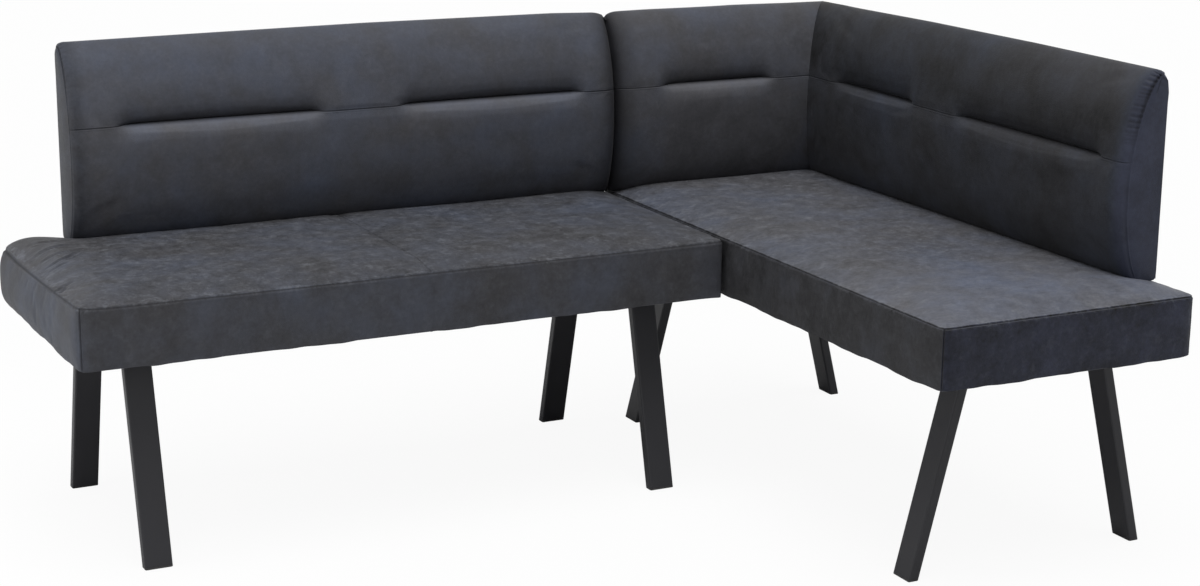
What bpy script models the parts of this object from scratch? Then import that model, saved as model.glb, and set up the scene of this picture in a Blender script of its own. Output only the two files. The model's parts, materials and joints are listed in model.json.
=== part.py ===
"""Upholstered corner bench: a long bench and a corner module with an L-shaped backrest.

Metres, +Z up. +X runs along the long bench and +Y towards the wall behind it. The origin lies on the
floor under the middle of the bench. Each module is modelled in its own frame, with x along the seat,
y from its front edge to its rear, and is placed by an empty. Each backrest stretch has a frame of its
own too: x along it, y = 0 at its rear face, z = 0 where it stands on the seat.
"""
import math

import bmesh
import bpy
from mathutils import Matrix, Vector
from mathutils.geometry import interpolate_bezier

# Fits
GAP = 0.0003
SOFT_GAP = 0.0008
FABRIC = 0.0012

# Seat cushions
LONG_SEAT_LENGTH = 1.230
CORNER_SEAT_LENGTH = 1.224
SEAT_DEPTH = 0.526
MODULE_GAP = 0.010
SEAT_BOTTOM_Z = 0.377
SEAT_SEAM_Z = 0.485
SEAT_CROWN = 0.015
SEAT_CROWN_RUN = 0.080
SEAT_SIDE_BULGE = 0.003
SEAT_CORNER_RADIUS = 0.020
SEAT_HEM = 0.035
PRESSED_RISE = 0.004
PRESSED_MARGIN = 0.005
PRESSED_RUN = 0.035

# Seat frame
RAIL_THICKNESS = 0.019
RAIL_HEIGHT = 0.065
SIDE_PADDING = 0.008
LEG_RAIL_WIDTH = 0.060
LEG_RAIL_THICKNESS = 0.020
STRAP_WIDTH = 0.060
STRAP_THICKNESS = 0.002
STRAP_PITCH = 0.150
STRAP_END_MARGIN = 0.004
DUST_CLOTH = 0.001
DUST_INSET = 0.012

# Backrests
BACKREST_TOP_Z = 0.858
BACKREST_THICKNESS = 0.0955
BACKREST_FREE_END_SETBACK = 0.108
BACKREST_JOINT_SETBACK = 0.0025
BACKREST_JOINT_GAP = 0.003
BACKREST_FOOT_DEPTH = 0.045
BELLY_HEIGHT = 0.155
TUCK_FULLNESS = 0.60
BELLY_FULLNESS = 0.54
ROLL_FULLNESS = 0.56
CREST_DEPTH = 0.018
CREST_RADIUS = 0.012
FREE_END_RADIUS = 0.008
JOINT_END_RADIUS = 0.025
BACKREST_HEM = 0.010
BACKREST_REAR_LIP = 0.035
REAR_COVER_MARGIN = 0.002
MITRE_CLEARANCE = 0.0003

# Pulled-in folds of the backrests
FOLD_Z = 0.706
FOLD_DEPTH = 0.012
FOLD_HALF_WIDTH = 0.016
FOLD_TAPER = 0.035
LONG_FOLD_END = 0.088
LONG_FOLD_MIDDLE = 0.160
SHORT_FOLD_END = 0.094
SHORT_FOLD_LENGTH = 0.262
CORNER_FOLD_END = 0.095
CORNER_FIRST_FOLD_LENGTH = 0.274
CORNER_FOLD_MIDDLE = 0.146
CORNER_LAST_FOLD_END = 0.0635

# Backrest boards, post and brackets
BOARD_THICKNESS = 0.016
BOARD_TOP_COVER = 0.035
POST_SIDE = 0.030
POST_RISE = 0.014
POST_TOP_COVER = 0.060
BRACKET_WIDTH = 0.030
BRACKET_THICKNESS = 0.004
BRACKET_RISE = 0.110
BRACKET_CLEARANCE = 0.003
LONG_BRACKET_INSET = 0.300
CORNER_BRACKET_INSET = 0.300

# Fasteners
BOLT_RADIUS = 0.003
BOLT_HEAD_RADIUS = 0.0055
BOLT_HEAD_HEIGHT = 0.004
BOLT_END_WOOD = 0.003
BOARD_BOLT_HEIGHTS = (0.035, 0.085)
RAIL_BOLT_DROPS = (0.011, 0.032)
SCREW_RADIUS = 0.0025
SCREW_HEAD_RADIUS = 0.0050
SCREW_HEAD_HEIGHT = 0.003
SCREW_SPACING = 0.065
SCREW_WOOD = 0.015
FASTENER_SIDES = 8

# Leg frames
TUBE_WIDTH = 0.050
TUBE_THICKNESS = 0.020
TUBE_WALL = 0.002
TUBE_CORNER_RADIUS = 0.003
LEG_FOOT_SETBACK = 0.0345
LEG_FOOT_OVERHANG = 0.0085
LEG_SPLAY = 0.093
LEG_PLATE_THICKNESS = 0.005
LONG_LEFT_LEG_INSET = 0.107
LONG_RIGHT_LEG_INSET = 0.081
CORNER_WALL_LEG_INSET = 0.047
CORNER_NEAR_LEG_INSET = 0.116
CAP_SOLE = 0.004
CAP_EDGE_RADIUS = 0.0012
CAP_PLUG_HEIGHT = 0.012

# Link plates between the modules
LINK_WIDTH = 0.040
LINK_THICKNESS = 0.003
LINK_REACH = 0.040
LINK_INSET = 0.120

# Places that follow from the sizes above
CORNER_X = LONG_SEAT_LENGTH + MODULE_GAP
REAR_X = CORNER_X + SEAT_DEPTH
REST_Z = SEAT_SEAM_Z + PRESSED_RISE + GAP
BACKREST_HEIGHT = BACKREST_TOP_Z - REST_Z
SKIN = FABRIC + SOFT_GAP
FRAME_INSET = SKIN + SIDE_PADDING + GAP
FRAME_FRONT = FRAME_INSET + RAIL_THICKNESS
FRAME_BOTTOM_Z = SEAT_BOTTOM_Z + FABRIC + GAP
RAIL_TOP_Z = FRAME_BOTTOM_Z + RAIL_HEIGHT
LEG_RAIL_TOP_Z = FRAME_BOTTOM_Z + LEG_RAIL_THICKNESS
STRAP_TOP_Z = RAIL_TOP_Z + GAP + STRAP_THICKNESS
DUST_TOP_Z = SEAT_BOTTOM_Z - GAP
PLATE_TOP_Z = DUST_TOP_Z - DUST_CLOTH - GAP
PLATE_BOTTOM_Z = PLATE_TOP_Z - LEG_PLATE_THICKNESS
LEG_FOOT_SPAN = SEAT_DEPTH - LEG_FOOT_SETBACK + LEG_FOOT_OVERHANG
LEG_TOP_SPAN = LEG_FOOT_SPAN - 2 * LEG_SPLAY
LEG_SLOPE = LEG_SPLAY / PLATE_BOTTOM_Z
TUBE_LEVEL_THICKNESS = TUBE_THICKNESS * math.hypot(1.0, LEG_SLOPE)
BRACKET_REAR = FRAME_FRONT + GAP
BRACKET_FRONT = BRACKET_REAR + BRACKET_THICKNESS
SHORT_BACKREST_X = LONG_SEAT_LENGTH - BACKREST_JOINT_SETBACK + BACKREST_JOINT_GAP
LONG_BACKREST_LENGTH = LONG_SEAT_LENGTH - BACKREST_JOINT_SETBACK - BACKREST_FREE_END_SETBACK
SHORT_BACKREST_LENGTH = REAR_X - SHORT_BACKREST_X
CORNER_BACKREST_LENGTH = CORNER_SEAT_LENGTH - BACKREST_FREE_END_SETBACK


def clear_scene():
    for existing in list(bpy.data.objects):
        bpy.data.objects.remove(existing, do_unlink=True)


def new_collection(name):
    collection = bpy.data.collections.new(name)
    bpy.context.scene.collection.children.link(collection)
    return collection


def linear(channel):
    value = channel / 255.0
    return value / 12.92 if value <= 0.04045 else ((value + 0.055) / 1.055) ** 2.4


def principled(name, rgb, roughness, metallic=0.0):
    material = bpy.data.materials.new(name)
    material.use_nodes = True
    shader = material.node_tree.nodes["Principled BSDF"]
    shader.inputs["Base Color"].default_value = (*[linear(channel) for channel in rgb], 1.0)
    shader.inputs["Roughness"].default_value = roughness
    shader.inputs["Metallic"].default_value = metallic
    return material


def new_empty(name, parent=None, location=(0.0, 0.0, 0.0), turn=0.0):
    empty = bpy.data.objects.new(name, None)
    parts.objects.link(empty)
    empty.parent = parent
    empty.location = location
    empty.rotation_euler = (0.0, 0.0, turn)
    return empty


def face_outwards(bm):
    """Turn the faces of a surface the same way, and a closed one's outwards."""
    bmesh.ops.recalc_face_normals(bm, faces=bm.faces)
    closed = all(edge.is_manifold for edge in bm.edges)
    if closed and bm.calc_volume(signed=True) < 0.0:
        bmesh.ops.reverse_faces(bm, faces=bm.faces)
    bm.normal_update()


def new_part(name, bm, material, parent):
    """Turn a bmesh into one named sub-part with its own material."""
    face_outwards(bm)
    mesh = bpy.data.meshes.new(name)
    bm.to_mesh(mesh)
    bm.free()
    mesh.shade_smooth()
    mesh.set_sharp_from_angle(angle=math.radians(35))
    mesh.materials.append(material)
    part = bpy.data.objects.new(name, mesh)
    parts.objects.link(part)
    part.parent = parent
    return part


def new_cutter(name, bm, parent):
    mesh = bpy.data.meshes.new(name)
    bm.to_mesh(mesh)
    bm.free()
    cutter = bpy.data.objects.new(name, mesh)
    cutters.objects.link(cutter)
    cutter.parent = parent
    cutter.hide_render = True
    cutter.display_type = "WIRE"
    return cutter


def combine(part, other, operation):
    modifier = part.modifiers.new(other.name, "BOOLEAN")
    modifier.operation = operation
    modifier.solver = "EXACT"
    modifier.use_self = True
    modifier.object = other


def cut(part, other_cutters):
    for cutter in other_cutters:
        combine(part, cutter, "DIFFERENCE")


def join(part, piece):
    combine(part, piece, "UNION")


def thicken(part, thickness):
    """Give an open surface an even thickness on its inner side."""
    shell = part.modifiers.new("thickness", "SOLIDIFY")
    shell.solidify_mode = "NON_MANIFOLD"
    shell.nonmanifold_thickness_mode = "CONSTRAINTS"
    shell.thickness = thickness
    shell.offset = -1.0


def add_box(bm, low, high):
    low = Vector(low)
    high = Vector(high)
    size = Matrix.Diagonal((*(high - low), 1.0))
    bmesh.ops.create_cube(bm, size=1.0, matrix=Matrix.Translation((low + high) / 2) @ size)


def add_cylinder(bm, base, direction, radius, length):
    turn = Vector(direction).to_track_quat("Z", "Y").to_matrix().to_4x4()
    place = Matrix.Translation(Vector(base) + Vector(direction) * length / 2) @ turn
    bmesh.ops.create_cone(
        bm, cap_ends=True, segments=FASTENER_SIDES, radius1=radius, radius2=radius, depth=length, matrix=place
    )


def add_fastener(bm, seat_point, direction, head_radius, head_height, radius, length):
    """A turned fastener: its head's underside at seat_point, its shank running along direction."""
    outline = (
        (0.0, -head_height),
        (head_radius, -head_height),
        (head_radius, 0.0),
        (radius, 0.0),
        (radius, length),
        (0.0, length),
    )
    turned = bmesh.new()
    points = [turned.verts.new((r, 0.0, z)) for r, z in outline]
    lines = [turned.edges.new(pair) for pair in zip(points, points[1:])]
    bmesh.ops.spin(
        turned, geom=points + lines, cent=(0, 0, 0), axis=(0, 0, 1), angle=2 * math.pi, steps=FASTENER_SIDES
    )
    bmesh.ops.remove_doubles(turned, verts=turned.verts, dist=0.00001)
    turn = Vector(direction).to_track_quat("Z", "Y").to_matrix().to_4x4()
    bmesh.ops.transform(turned, matrix=Matrix.Translation(seat_point) @ turn, verts=turned.verts)
    append(bm, turned)


def append(bm, other):
    """Add another bmesh's faces to this one, as bodies of their own."""
    bmesh.ops.recalc_face_normals(other, faces=other.faces)
    mesh = bpy.data.meshes.new("piece")
    other.to_mesh(mesh)
    other.free()
    bm.from_mesh(mesh)
    bpy.data.meshes.remove(mesh)


def ease_out(distance, run):
    share = min(max(distance / run, 0.0), 1.0)
    return 1.0 - (1.0 - share) ** 3


def ramp(value, start, end):
    share = min(max((value - start) / (end - start), 0.0), 1.0)
    return share * share * (3.0 - 2.0 * share)


def offset_inward(bm, distance):
    """Move a closed or open surface inwards by the same distance everywhere."""
    face_outwards(bm)
    moves = [(vert, vert.normal * vert.calc_shell_factor() * distance) for vert in bm.verts]
    for vert, move in moves:
        vert.co -= move


# The seat cushion's form
def pressed_share(x, y, seat):
    """1 where a backrest stands on the cushion, 0 where the cushion is free."""
    strip = BACKREST_FOOT_DEPTH + PRESSED_MARGIN
    rear = ramp(y, SEAT_DEPTH - strip - PRESSED_RUN, SEAT_DEPTH - strip)
    if seat["wall_end"]:
        free_edge = seat["length"] - BACKREST_FREE_END_SETBACK
        along = 1.0 - ramp(x, free_edge, free_edge + PRESSED_RUN)
        wall = 1.0 - ramp(x, strip, strip + PRESSED_RUN)
        return max(rear * along, wall)
    return rear * ramp(x, BACKREST_FREE_END_SETBACK - PRESSED_RUN, BACKREST_FREE_END_SETBACK)


def seat_rise(x, y, seat):
    """Height of the cushion's top above its seam."""
    across = ease_out(min(y, SEAT_DEPTH - y), SEAT_CROWN_RUN)
    along = ease_out(min(x, seat["length"] - x), SEAT_CROWN_RUN)
    free = SEAT_CROWN * across * along
    share = pressed_share(x, y, seat)
    return free * (1.0 - share) + min(free, PRESSED_RISE) * share


def shape_seat_vertex(vert, seat):
    x, y, z = vert.co
    side = SEAT_SEAM_Z - SEAT_BOTTOM_Z
    rise = seat_rise(x, y, seat) if z > side - GAP else 0.0
    core_x = min(max(x, SEAT_CORNER_RADIUS), seat["length"] - SEAT_CORNER_RADIUS)
    core_y = min(max(y, SEAT_CORNER_RADIUS), SEAT_DEPTH - SEAT_CORNER_RADIUS)
    out = Vector((x - core_x, y - core_y))
    if out.length > 0.0:
        reach = max(abs(out.x), abs(out.y))
        out *= reach / out.length
        if reach > SEAT_CORNER_RADIUS - GAP:
            level = z / side
            out += out.normalized() * SEAT_SIDE_BULGE * 4.0 * level * (1.0 - level)
    vert.co = (core_x + out.x, core_y + out.y, z + rise)


def seat_form(seat):
    """A box with loop cuts where the form turns, then shaped: crown, drawn-in seam and hem, bulging sides."""
    length = seat["length"]
    side = SEAT_SEAM_Z - SEAT_BOTTOM_Z
    strip = BACKREST_FOOT_DEPTH + PRESSED_MARGIN
    arc = SEAT_CORNER_RADIUS * (1.0 - math.tan(math.pi / 8))
    edge = (arc, SEAT_CORNER_RADIUS, SEAT_HEM)
    front = (*edge, SEAT_CROWN_RUN)
    rear = (*edge, strip, strip + PRESSED_RUN)
    free_end = (*edge, SEAT_CROWN_RUN, BACKREST_FREE_END_SETBACK)
    start = rear if seat["wall_end"] else free_end
    end = free_end if seat["wall_end"] else front
    along = [*start, length / 2, *[length - station for station in end]]
    across = [*front, *[SEAT_DEPTH - station for station in rear]]
    up = [side / 2]
    bm = bmesh.new()
    add_box(bm, (0.0, 0.0, 0.0), (length, SEAT_DEPTH, side))
    for axis, stations in enumerate((along, across, up)):
        normal = Vector([float(axis == index) for index in range(3)])
        for station in stations:
            geometry = bm.verts[:] + bm.edges[:] + bm.faces[:]
            bmesh.ops.bisect_plane(bm, geom=geometry, plane_co=normal * station, plane_no=normal)
    for vert in bm.verts:
        shape_seat_vertex(vert, seat)
    bmesh.ops.translate(bm, verts=bm.verts, vec=(0.0, 0.0, SEAT_BOTTOM_Z))
    return bm


def in_hem_opening(face, seat):
    middle = face.calc_center_median()
    inside_x = SEAT_HEM < middle.x < seat["length"] - SEAT_HEM
    inside_y = SEAT_HEM < middle.y < SEAT_DEPTH - SEAT_HEM
    return middle.z < SEAT_BOTTOM_Z + GAP and inside_x and inside_y


def seat_cover(seat, slots, holes):
    """The sewn cover: top, sides and a hem turned in under the frame."""
    bm = seat_form(seat)
    opening = [face for face in bm.faces if in_hem_opening(face, seat)]
    bmesh.ops.delete(bm, geom=opening, context="FACES")
    bmesh.ops.triangulate(bm, faces=bm.faces, quad_method="FIXED")
    cover = new_part(seat["name"] + "_seat_cover", bm, fabric, seat["frame"])
    thicken(cover, FABRIC)
    cut(cover, [*slots, *holes])


def seat_foam(seat, slots):
    """The foam block, with skirts that pad the outside of the rails."""
    bm = seat_form(seat)
    bmesh.ops.triangulate(bm, faces=bm.faces, quad_method="FIXED")
    offset_inward(bm, SKIN)
    padding = new_part(seat["name"] + "_seat_foam", bm, foam, seat["frame"])
    recess = bmesh.new()
    inset = FRAME_INSET - GAP
    low = (inset, inset, SEAT_BOTTOM_Z - RAIL_HEIGHT)
    high = (seat["length"] - inset, SEAT_DEPTH - inset, STRAP_TOP_Z + GAP)
    add_box(recess, low, high)
    cut(padding, [new_cutter(seat["name"] + "_frame_recess", recess, seat["frame"]), *slots])


# The seat frame
def long_rail(seat, name, y, holes):
    """A rail along the seat, at its front or its rear."""
    bm = bmesh.new()
    low = (FRAME_INSET, y, FRAME_BOTTOM_Z)
    add_box(bm, low, (seat["length"] - FRAME_INSET, y + RAIL_THICKNESS, RAIL_TOP_Z))
    cut(new_part(f"{seat['name']}_seat_{name}_rail", bm, wood, seat["frame"]), holes)


def cross_rail(seat, name, x, holes):
    """A rail across the seat's end, between the front and the rear rail."""
    bm = bmesh.new()
    low = (x, FRAME_FRONT + GAP, FRAME_BOTTOM_Z)
    add_box(bm, low, (x + RAIL_THICKNESS, SEAT_DEPTH - FRAME_FRONT - GAP, RAIL_TOP_Z))
    cut(new_part(f"{seat['name']}_seat_{name}_rail", bm, wood, seat["frame"]), holes)


def leg_rail(seat, side, middle, holes):
    """A flat cross rail that a leg plate is screwed to."""
    bm = bmesh.new()
    low = (middle - LEG_RAIL_WIDTH / 2, FRAME_FRONT + GAP, FRAME_BOTTOM_Z)
    high = (middle + LEG_RAIL_WIDTH / 2, SEAT_DEPTH - FRAME_FRONT - GAP, LEG_RAIL_TOP_Z)
    add_box(bm, low, high)
    cut(new_part(f"{seat['name']}_{side}_leg_rail", bm, wood, seat["frame"]), holes)


def strap_pitch(seat):
    span = seat["length"] - 2 * FRAME_FRONT
    return span / max(1, round(span / STRAP_PITCH))


def strap_edges(middles):
    return [edge for middle in middles for edge in (middle - STRAP_WIDTH / 2, middle + STRAP_WIDTH / 2)]


def webbing(seat):
    """Elastic straps across the frame and two along it, made as one flat net stretched over the rails."""
    pitch = strap_pitch(seat)
    margin = FRAME_INSET + STRAP_END_MARGIN
    count = round((seat["length"] - 2 * FRAME_FRONT) / pitch)
    across = strap_edges([FRAME_FRONT + (index + 0.5) * pitch for index in range(count)])
    along = strap_edges([SEAT_DEPTH / 3, SEAT_DEPTH * 2 / 3])
    stations_x = [margin, *across, seat["length"] - margin]
    stations_y = [margin, *along, SEAT_DEPTH - margin]
    bm = bmesh.new()
    grid = bmesh.ops.create_grid(bm, x_segments=len(stations_x) - 1, y_segments=len(stations_y) - 1, size=1.0)
    ordered = sorted(grid["verts"], key=lambda vert: (round(vert.co.y, 4), round(vert.co.x, 4)))
    for number, vert in enumerate(ordered):
        row, column = divmod(number, len(stations_x))
        vert.co = (stations_x[column], stations_y[row], STRAP_TOP_Z)
    open_cells = [face for face in bm.faces if not on_strap(face.calc_center_median(), across, along)]
    bmesh.ops.delete(bm, geom=open_cells, context="FACES")
    thicken(new_part(seat["name"] + "_seat_webbing", bm, elastic, seat["frame"]), STRAP_THICKNESS)


def on_strap(point, across, along):
    on_cross = any(low < point.x < high for low, high in zip(across[::2], across[1::2]))
    on_long = any(low < point.y < high for low, high in zip(along[::2], along[1::2]))
    return on_cross or on_long


def dust_cover(seat, holes):
    bm = bmesh.new()
    low = (DUST_INSET, DUST_INSET, DUST_TOP_Z - DUST_CLOTH)
    add_box(bm, low, (seat["length"] - DUST_INSET, SEAT_DEPTH - DUST_INSET, DUST_TOP_Z))
    cut(new_part(seat["name"] + "_dust_cover", bm, dust_cloth, seat["frame"]), holes)


# The leg frames
def leg_middles(seat):
    return [start + TUBE_WIDTH / 2 for start in seat["leg_starts"]]


def leg_foot_y(lean):
    """Middle of a foot: the front leg leans back (+1), the rear leg leans forwards (-1)."""
    middle = LEG_FOOT_SETBACK + LEG_FOOT_SPAN / 2
    return middle - lean * (LEG_FOOT_SPAN - TUBE_LEVEL_THICKNESS) / 2


def lean_leg(bm, lean):
    for vert in bm.verts:
        vert.co.y += lean * LEG_SLOPE * vert.co.z


def tube_section(bm, height):
    """An upright block with the flat tube's rounded outline, standing on z = 0."""
    half_width = TUBE_WIDTH / 2
    half_thickness = TUBE_LEVEL_THICKNESS / 2
    add_box(bm, (-half_width, -half_thickness, 0.0), (half_width, half_thickness, height))
    upright = [edge for edge in bm.edges if abs(edge.verts[0].co.z - edge.verts[1].co.z) > GAP]
    bmesh.ops.bevel(bm, geom=upright, offset=TUBE_CORNER_RADIUS, segments=2, profile=0.5, affect="EDGES")


def leg_tube(seat, middle, side, lean):
    """One splayed leg of flat tube, cut level at the floor and under the plate."""
    bm = bmesh.new()
    foot = CAP_SOLE + GAP
    tube_section(bm, PLATE_BOTTOM_Z - GAP - foot)
    bm.normal_update()
    ends = [face for face in bm.faces if abs(face.normal.z) > 0.9]
    bmesh.ops.delete(bm, geom=ends, context="FACES_ONLY")
    bmesh.ops.solidify(bm, geom=bm.faces[:], thickness=TUBE_WALL)
    bmesh.ops.translate(bm, verts=bm.verts, vec=(0.0, 0.0, foot))
    lean_leg(bm, lean)
    bmesh.ops.translate(bm, verts=bm.verts, vec=(middle, leg_foot_y(lean), 0.0))
    place = "front" if lean > 0 else "rear"
    new_part(f"{seat['name']}_{side}_leg_{place}_tube", bm, powder_coat, seat["frame"])


def leg_plate(seat, middle, side, screws):
    bm = bmesh.new()
    front = LEG_FOOT_SETBACK + LEG_SPLAY
    low = (middle - TUBE_WIDTH / 2, front, PLATE_BOTTOM_Z)
    add_box(bm, low, (middle + TUBE_WIDTH / 2, front + LEG_TOP_SPAN, PLATE_TOP_Z))
    join(new_part(f"{seat['name']}_{side}_leg_plate", bm, powder_coat, seat["frame"]), screws)


def foot_cap(seat, middle, side, lean):
    """A plastic cap: a sole with rounded edges and a plug inside the tube."""
    bm = bmesh.new()
    tube_section(bm, CAP_SOLE)
    sole = [edge for edge in bm.edges if max(vert.co.z for vert in edge.verts) < GAP]
    bmesh.ops.bevel(bm, geom=sole, offset=CAP_EDGE_RADIUS, segments=2, profile=0.5, affect="EDGES")
    bm.normal_update()
    top = [face for face in bm.faces if face.normal.z > 0.9]
    bmesh.ops.inset_individual(bm, faces=top, thickness=TUBE_WALL + SOFT_GAP, use_even_offset=True)
    plug = bmesh.ops.extrude_face_region(bm, geom=top)["geom"]
    bmesh.ops.delete(bm, geom=top, context="FACES_ONLY")
    raised = [item for item in plug if isinstance(item, bmesh.types.BMVert)]
    bmesh.ops.translate(bm, verts=raised, vec=(0.0, 0.0, CAP_PLUG_HEIGHT))
    lean_leg(bm, lean)
    bmesh.ops.translate(bm, verts=bm.verts, vec=(middle, leg_foot_y(lean), 0.0))
    place = "front" if lean > 0 else "rear"
    new_part(f"{seat['name']}_{side}_leg_{place}_cap", bm, plastic, seat["frame"])


def leg_screw_points(middle):
    middle_y = LEG_FOOT_SETBACK + LEG_FOOT_SPAN / 2
    return [(middle, middle_y + (index - 1.5) * SCREW_SPACING) for index in range(4)]


def plate_screws(name, points, plate_bottom, parent):
    """Wood screws that hold a plate from below, and the holes they need in what they pass through."""
    bm = bmesh.new()
    drill = bmesh.new()
    start = plate_bottom + GAP
    length = FRAME_BOTTOM_Z + SCREW_WOOD - start
    for x, y in points:
        size = (SCREW_HEAD_RADIUS, SCREW_HEAD_HEIGHT, SCREW_RADIUS, length)
        add_fastener(bm, (x, y, start), (0.0, 0.0, 1.0), *size)
        add_cylinder(drill, (x, y, start), (0.0, 0.0, 1.0), SCREW_RADIUS + GAP, length + GAP)
    return new_cutter(name, bm, parent), new_cutter(name + "_holes", drill, parent)


# The backrests' form
def bezier(start, start_handle, end_handle, end, points):
    flat = [Vector((*point, 0.0)) for point in (start, start_handle, end_handle, end)]
    return [(point.x, point.y) for point in interpolate_bezier(*flat, points)]


def backrest_profile():
    """Depth and height of the cover, from the foot's front edge over the top to the rear face."""
    height = BACKREST_HEIGHT
    thickness = BACKREST_THICKNESS
    foot = (BACKREST_FOOT_DEPTH, 0.0)
    foot_handle = (BACKREST_FOOT_DEPTH + (thickness - BACKREST_FOOT_DEPTH) * TUCK_FULLNESS, 0.0)
    belly = (thickness, BELLY_HEIGHT)
    belly_below = (thickness, BELLY_HEIGHT * (1.0 - BELLY_FULLNESS))
    belly_above = (thickness, BELLY_HEIGHT + (height - BELLY_HEIGHT) * ROLL_FULLNESS)
    crest = (CREST_DEPTH, height)
    crest_front = (CREST_DEPTH + (thickness - CREST_DEPTH) * (1.0 - ROLL_FULLNESS), height)
    crest_rear = (CREST_DEPTH / 2, height)
    rear = (0.0, height - CREST_RADIUS)
    rear_above = (0.0, height - CREST_RADIUS / 2)
    lower = bezier(foot, foot_handle, belly_below, belly, 5)
    upper = bezier(belly, belly_above, crest_front, crest, 9)
    top = bezier(crest, crest_rear, rear_above, rear, 3)
    return with_fold_rows(lower + upper[1:]) + top[1:]


def with_fold_rows(points):
    """Replace the points near the fold with a row on it and one on each side."""
    fold = FOLD_Z - REST_Z
    heights = (fold - FOLD_HALF_WIDTH, fold, fold + FOLD_HALF_WIDTH)
    rows = [point for point in points if abs(point[1] - fold) > FOLD_HALF_WIDTH * 1.3]
    for height in heights:
        for (depth_a, height_a), (depth_b, height_b) in zip(points, points[1:]):
            if height_a <= height < height_b:
                share = (height - height_a) / (height_b - height_a)
                rows.append((depth_a + (depth_b - depth_a) * share, height))
    return sorted(rows, key=lambda row: row[1])


def end_columns(radius, skin):
    """Stations near a rounded end: distance from the end, and how far the profile is drawn in there."""
    angles = [math.radians(angle) for angle in (0, 45, 90)]
    inner = radius - skin
    return [(radius - inner * math.cos(a), inner * (1.0 - math.sin(a))) for a in angles]


def backrest_columns(stretch, skin):
    length = stretch["length"]
    columns = []
    if stretch["left_radius"]:
        columns += end_columns(stretch["left_radius"], skin)
    else:
        columns.append((0.0, 0.0))
    for start, end in stretch["folds"]:
        taper = min(FOLD_TAPER, (end - start) / 2.5)
        columns += [(x, 0.0) for x in (start, start + taper, end - taper, end)]
    if stretch["right_radius"]:
        ends = reversed(end_columns(stretch["right_radius"], skin))
        columns += [(length - x, inset) for x, inset in ends]
    else:
        columns.append((length, 0.0))
    return columns


def fold_share(x, stretch):
    """1 inside a fold, 0 outside it, with a taper at both ends."""
    share = 0.0
    for start, end in stretch["folds"]:
        taper = min(FOLD_TAPER, (end - start) / 2.5)
        share = max(share, min(ramp(x, start, start + taper), 1.0 - ramp(x, end - taper, end)))
    return share


def end_rounding(depth, height):
    """How far a rounded end draws a profile point back, and how far down, as shares of its inset."""
    forward = max(depth - CREST_DEPTH, 0.0) / (BACKREST_THICKNESS - CREST_DEPTH)
    upward = max(height - BELLY_HEIGHT, 0.0) / (BACKREST_HEIGHT - BELLY_HEIGHT)
    return math.sin(forward * math.pi / 2), upward ** 2


def moved_in(profile, index, inset, skin):
    """A profile point moved in from the front and the top for a rounded end, and by the skin all round."""
    depth, height = profile[index]
    back, down = end_rounding(depth, height)
    if height <= 0.0:
        return max(depth - inset * back - skin, skin), skin
    before = profile[max(index - 1, 0)]
    after = profile[min(index + 1, len(profile) - 1)]
    along = Vector((after[0] - before[0], after[1] - before[1])).normalized()
    depth -= inset * back + skin * along.y
    height -= inset * down - skin * along.x
    return max(depth, skin), max(height, skin)


def backrest_form(stretch, skin):
    """The cushion's closed form, at a depth of skin under the cover's outer face.

    A grid is draped over the profile, with its ends rounded and its folds pulled in, and closed at both ends.
    """
    profile = [*backrest_profile(), (0.0, 0.0), (BACKREST_FOOT_DEPTH, 0.0)]
    columns = backrest_columns(stretch, skin)
    bm = bmesh.new()
    grid = bmesh.ops.create_grid(bm, x_segments=len(columns) - 1, y_segments=len(profile) - 1, size=1.0)
    ordered = sorted(grid["verts"], key=lambda vert: (round(vert.co.y, 4), round(vert.co.x, 4)))
    fold = FOLD_Z - REST_Z
    for number, vert in enumerate(ordered):
        row, column = divmod(number, len(columns))
        x, inset = columns[column]
        depth, height = moved_in(profile, row, inset, skin)
        if abs(profile[row][1] - fold) < GAP and profile[row][0] > CREST_DEPTH:
            depth -= FOLD_DEPTH * fold_share(x, stretch)
        vert.co = (x, -depth, height)
    bmesh.ops.remove_doubles(bm, verts=bm.verts, dist=0.00001)
    bmesh.ops.holes_fill(bm, edges=[edge for edge in bm.edges if edge.is_boundary])
    bmesh.ops.triangulate(bm, faces=bm.faces, quad_method="FIXED")
    face_outwards(bm)
    return bm


def mitre(bm, stretch):
    """Cut the stretch at 45 degrees where it meets its neighbour in the corner."""
    if stretch["right_radius"] and stretch["left_radius"]:
        return
    if stretch["left_radius"]:
        point = (stretch["length"] - MITRE_CLEARANCE, 0.0, 0.0)
        normal = Vector((1.0, -1.0, 0.0)).normalized()
    else:
        point = (MITRE_CLEARANCE, 0.0, 0.0)
        normal = Vector((-1.0, -1.0, 0.0)).normalized()
    geometry = bm.verts[:] + bm.edges[:] + bm.faces[:]
    bmesh.ops.bisect_plane(bm, geom=geometry, plane_co=point, plane_no=normal, clear_outer=True)
    bmesh.ops.holes_fill(bm, edges=[edge for edge in bm.edges if edge.is_boundary])
    bmesh.ops.triangulate(bm, faces=bm.faces, quad_method="FIXED")


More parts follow.
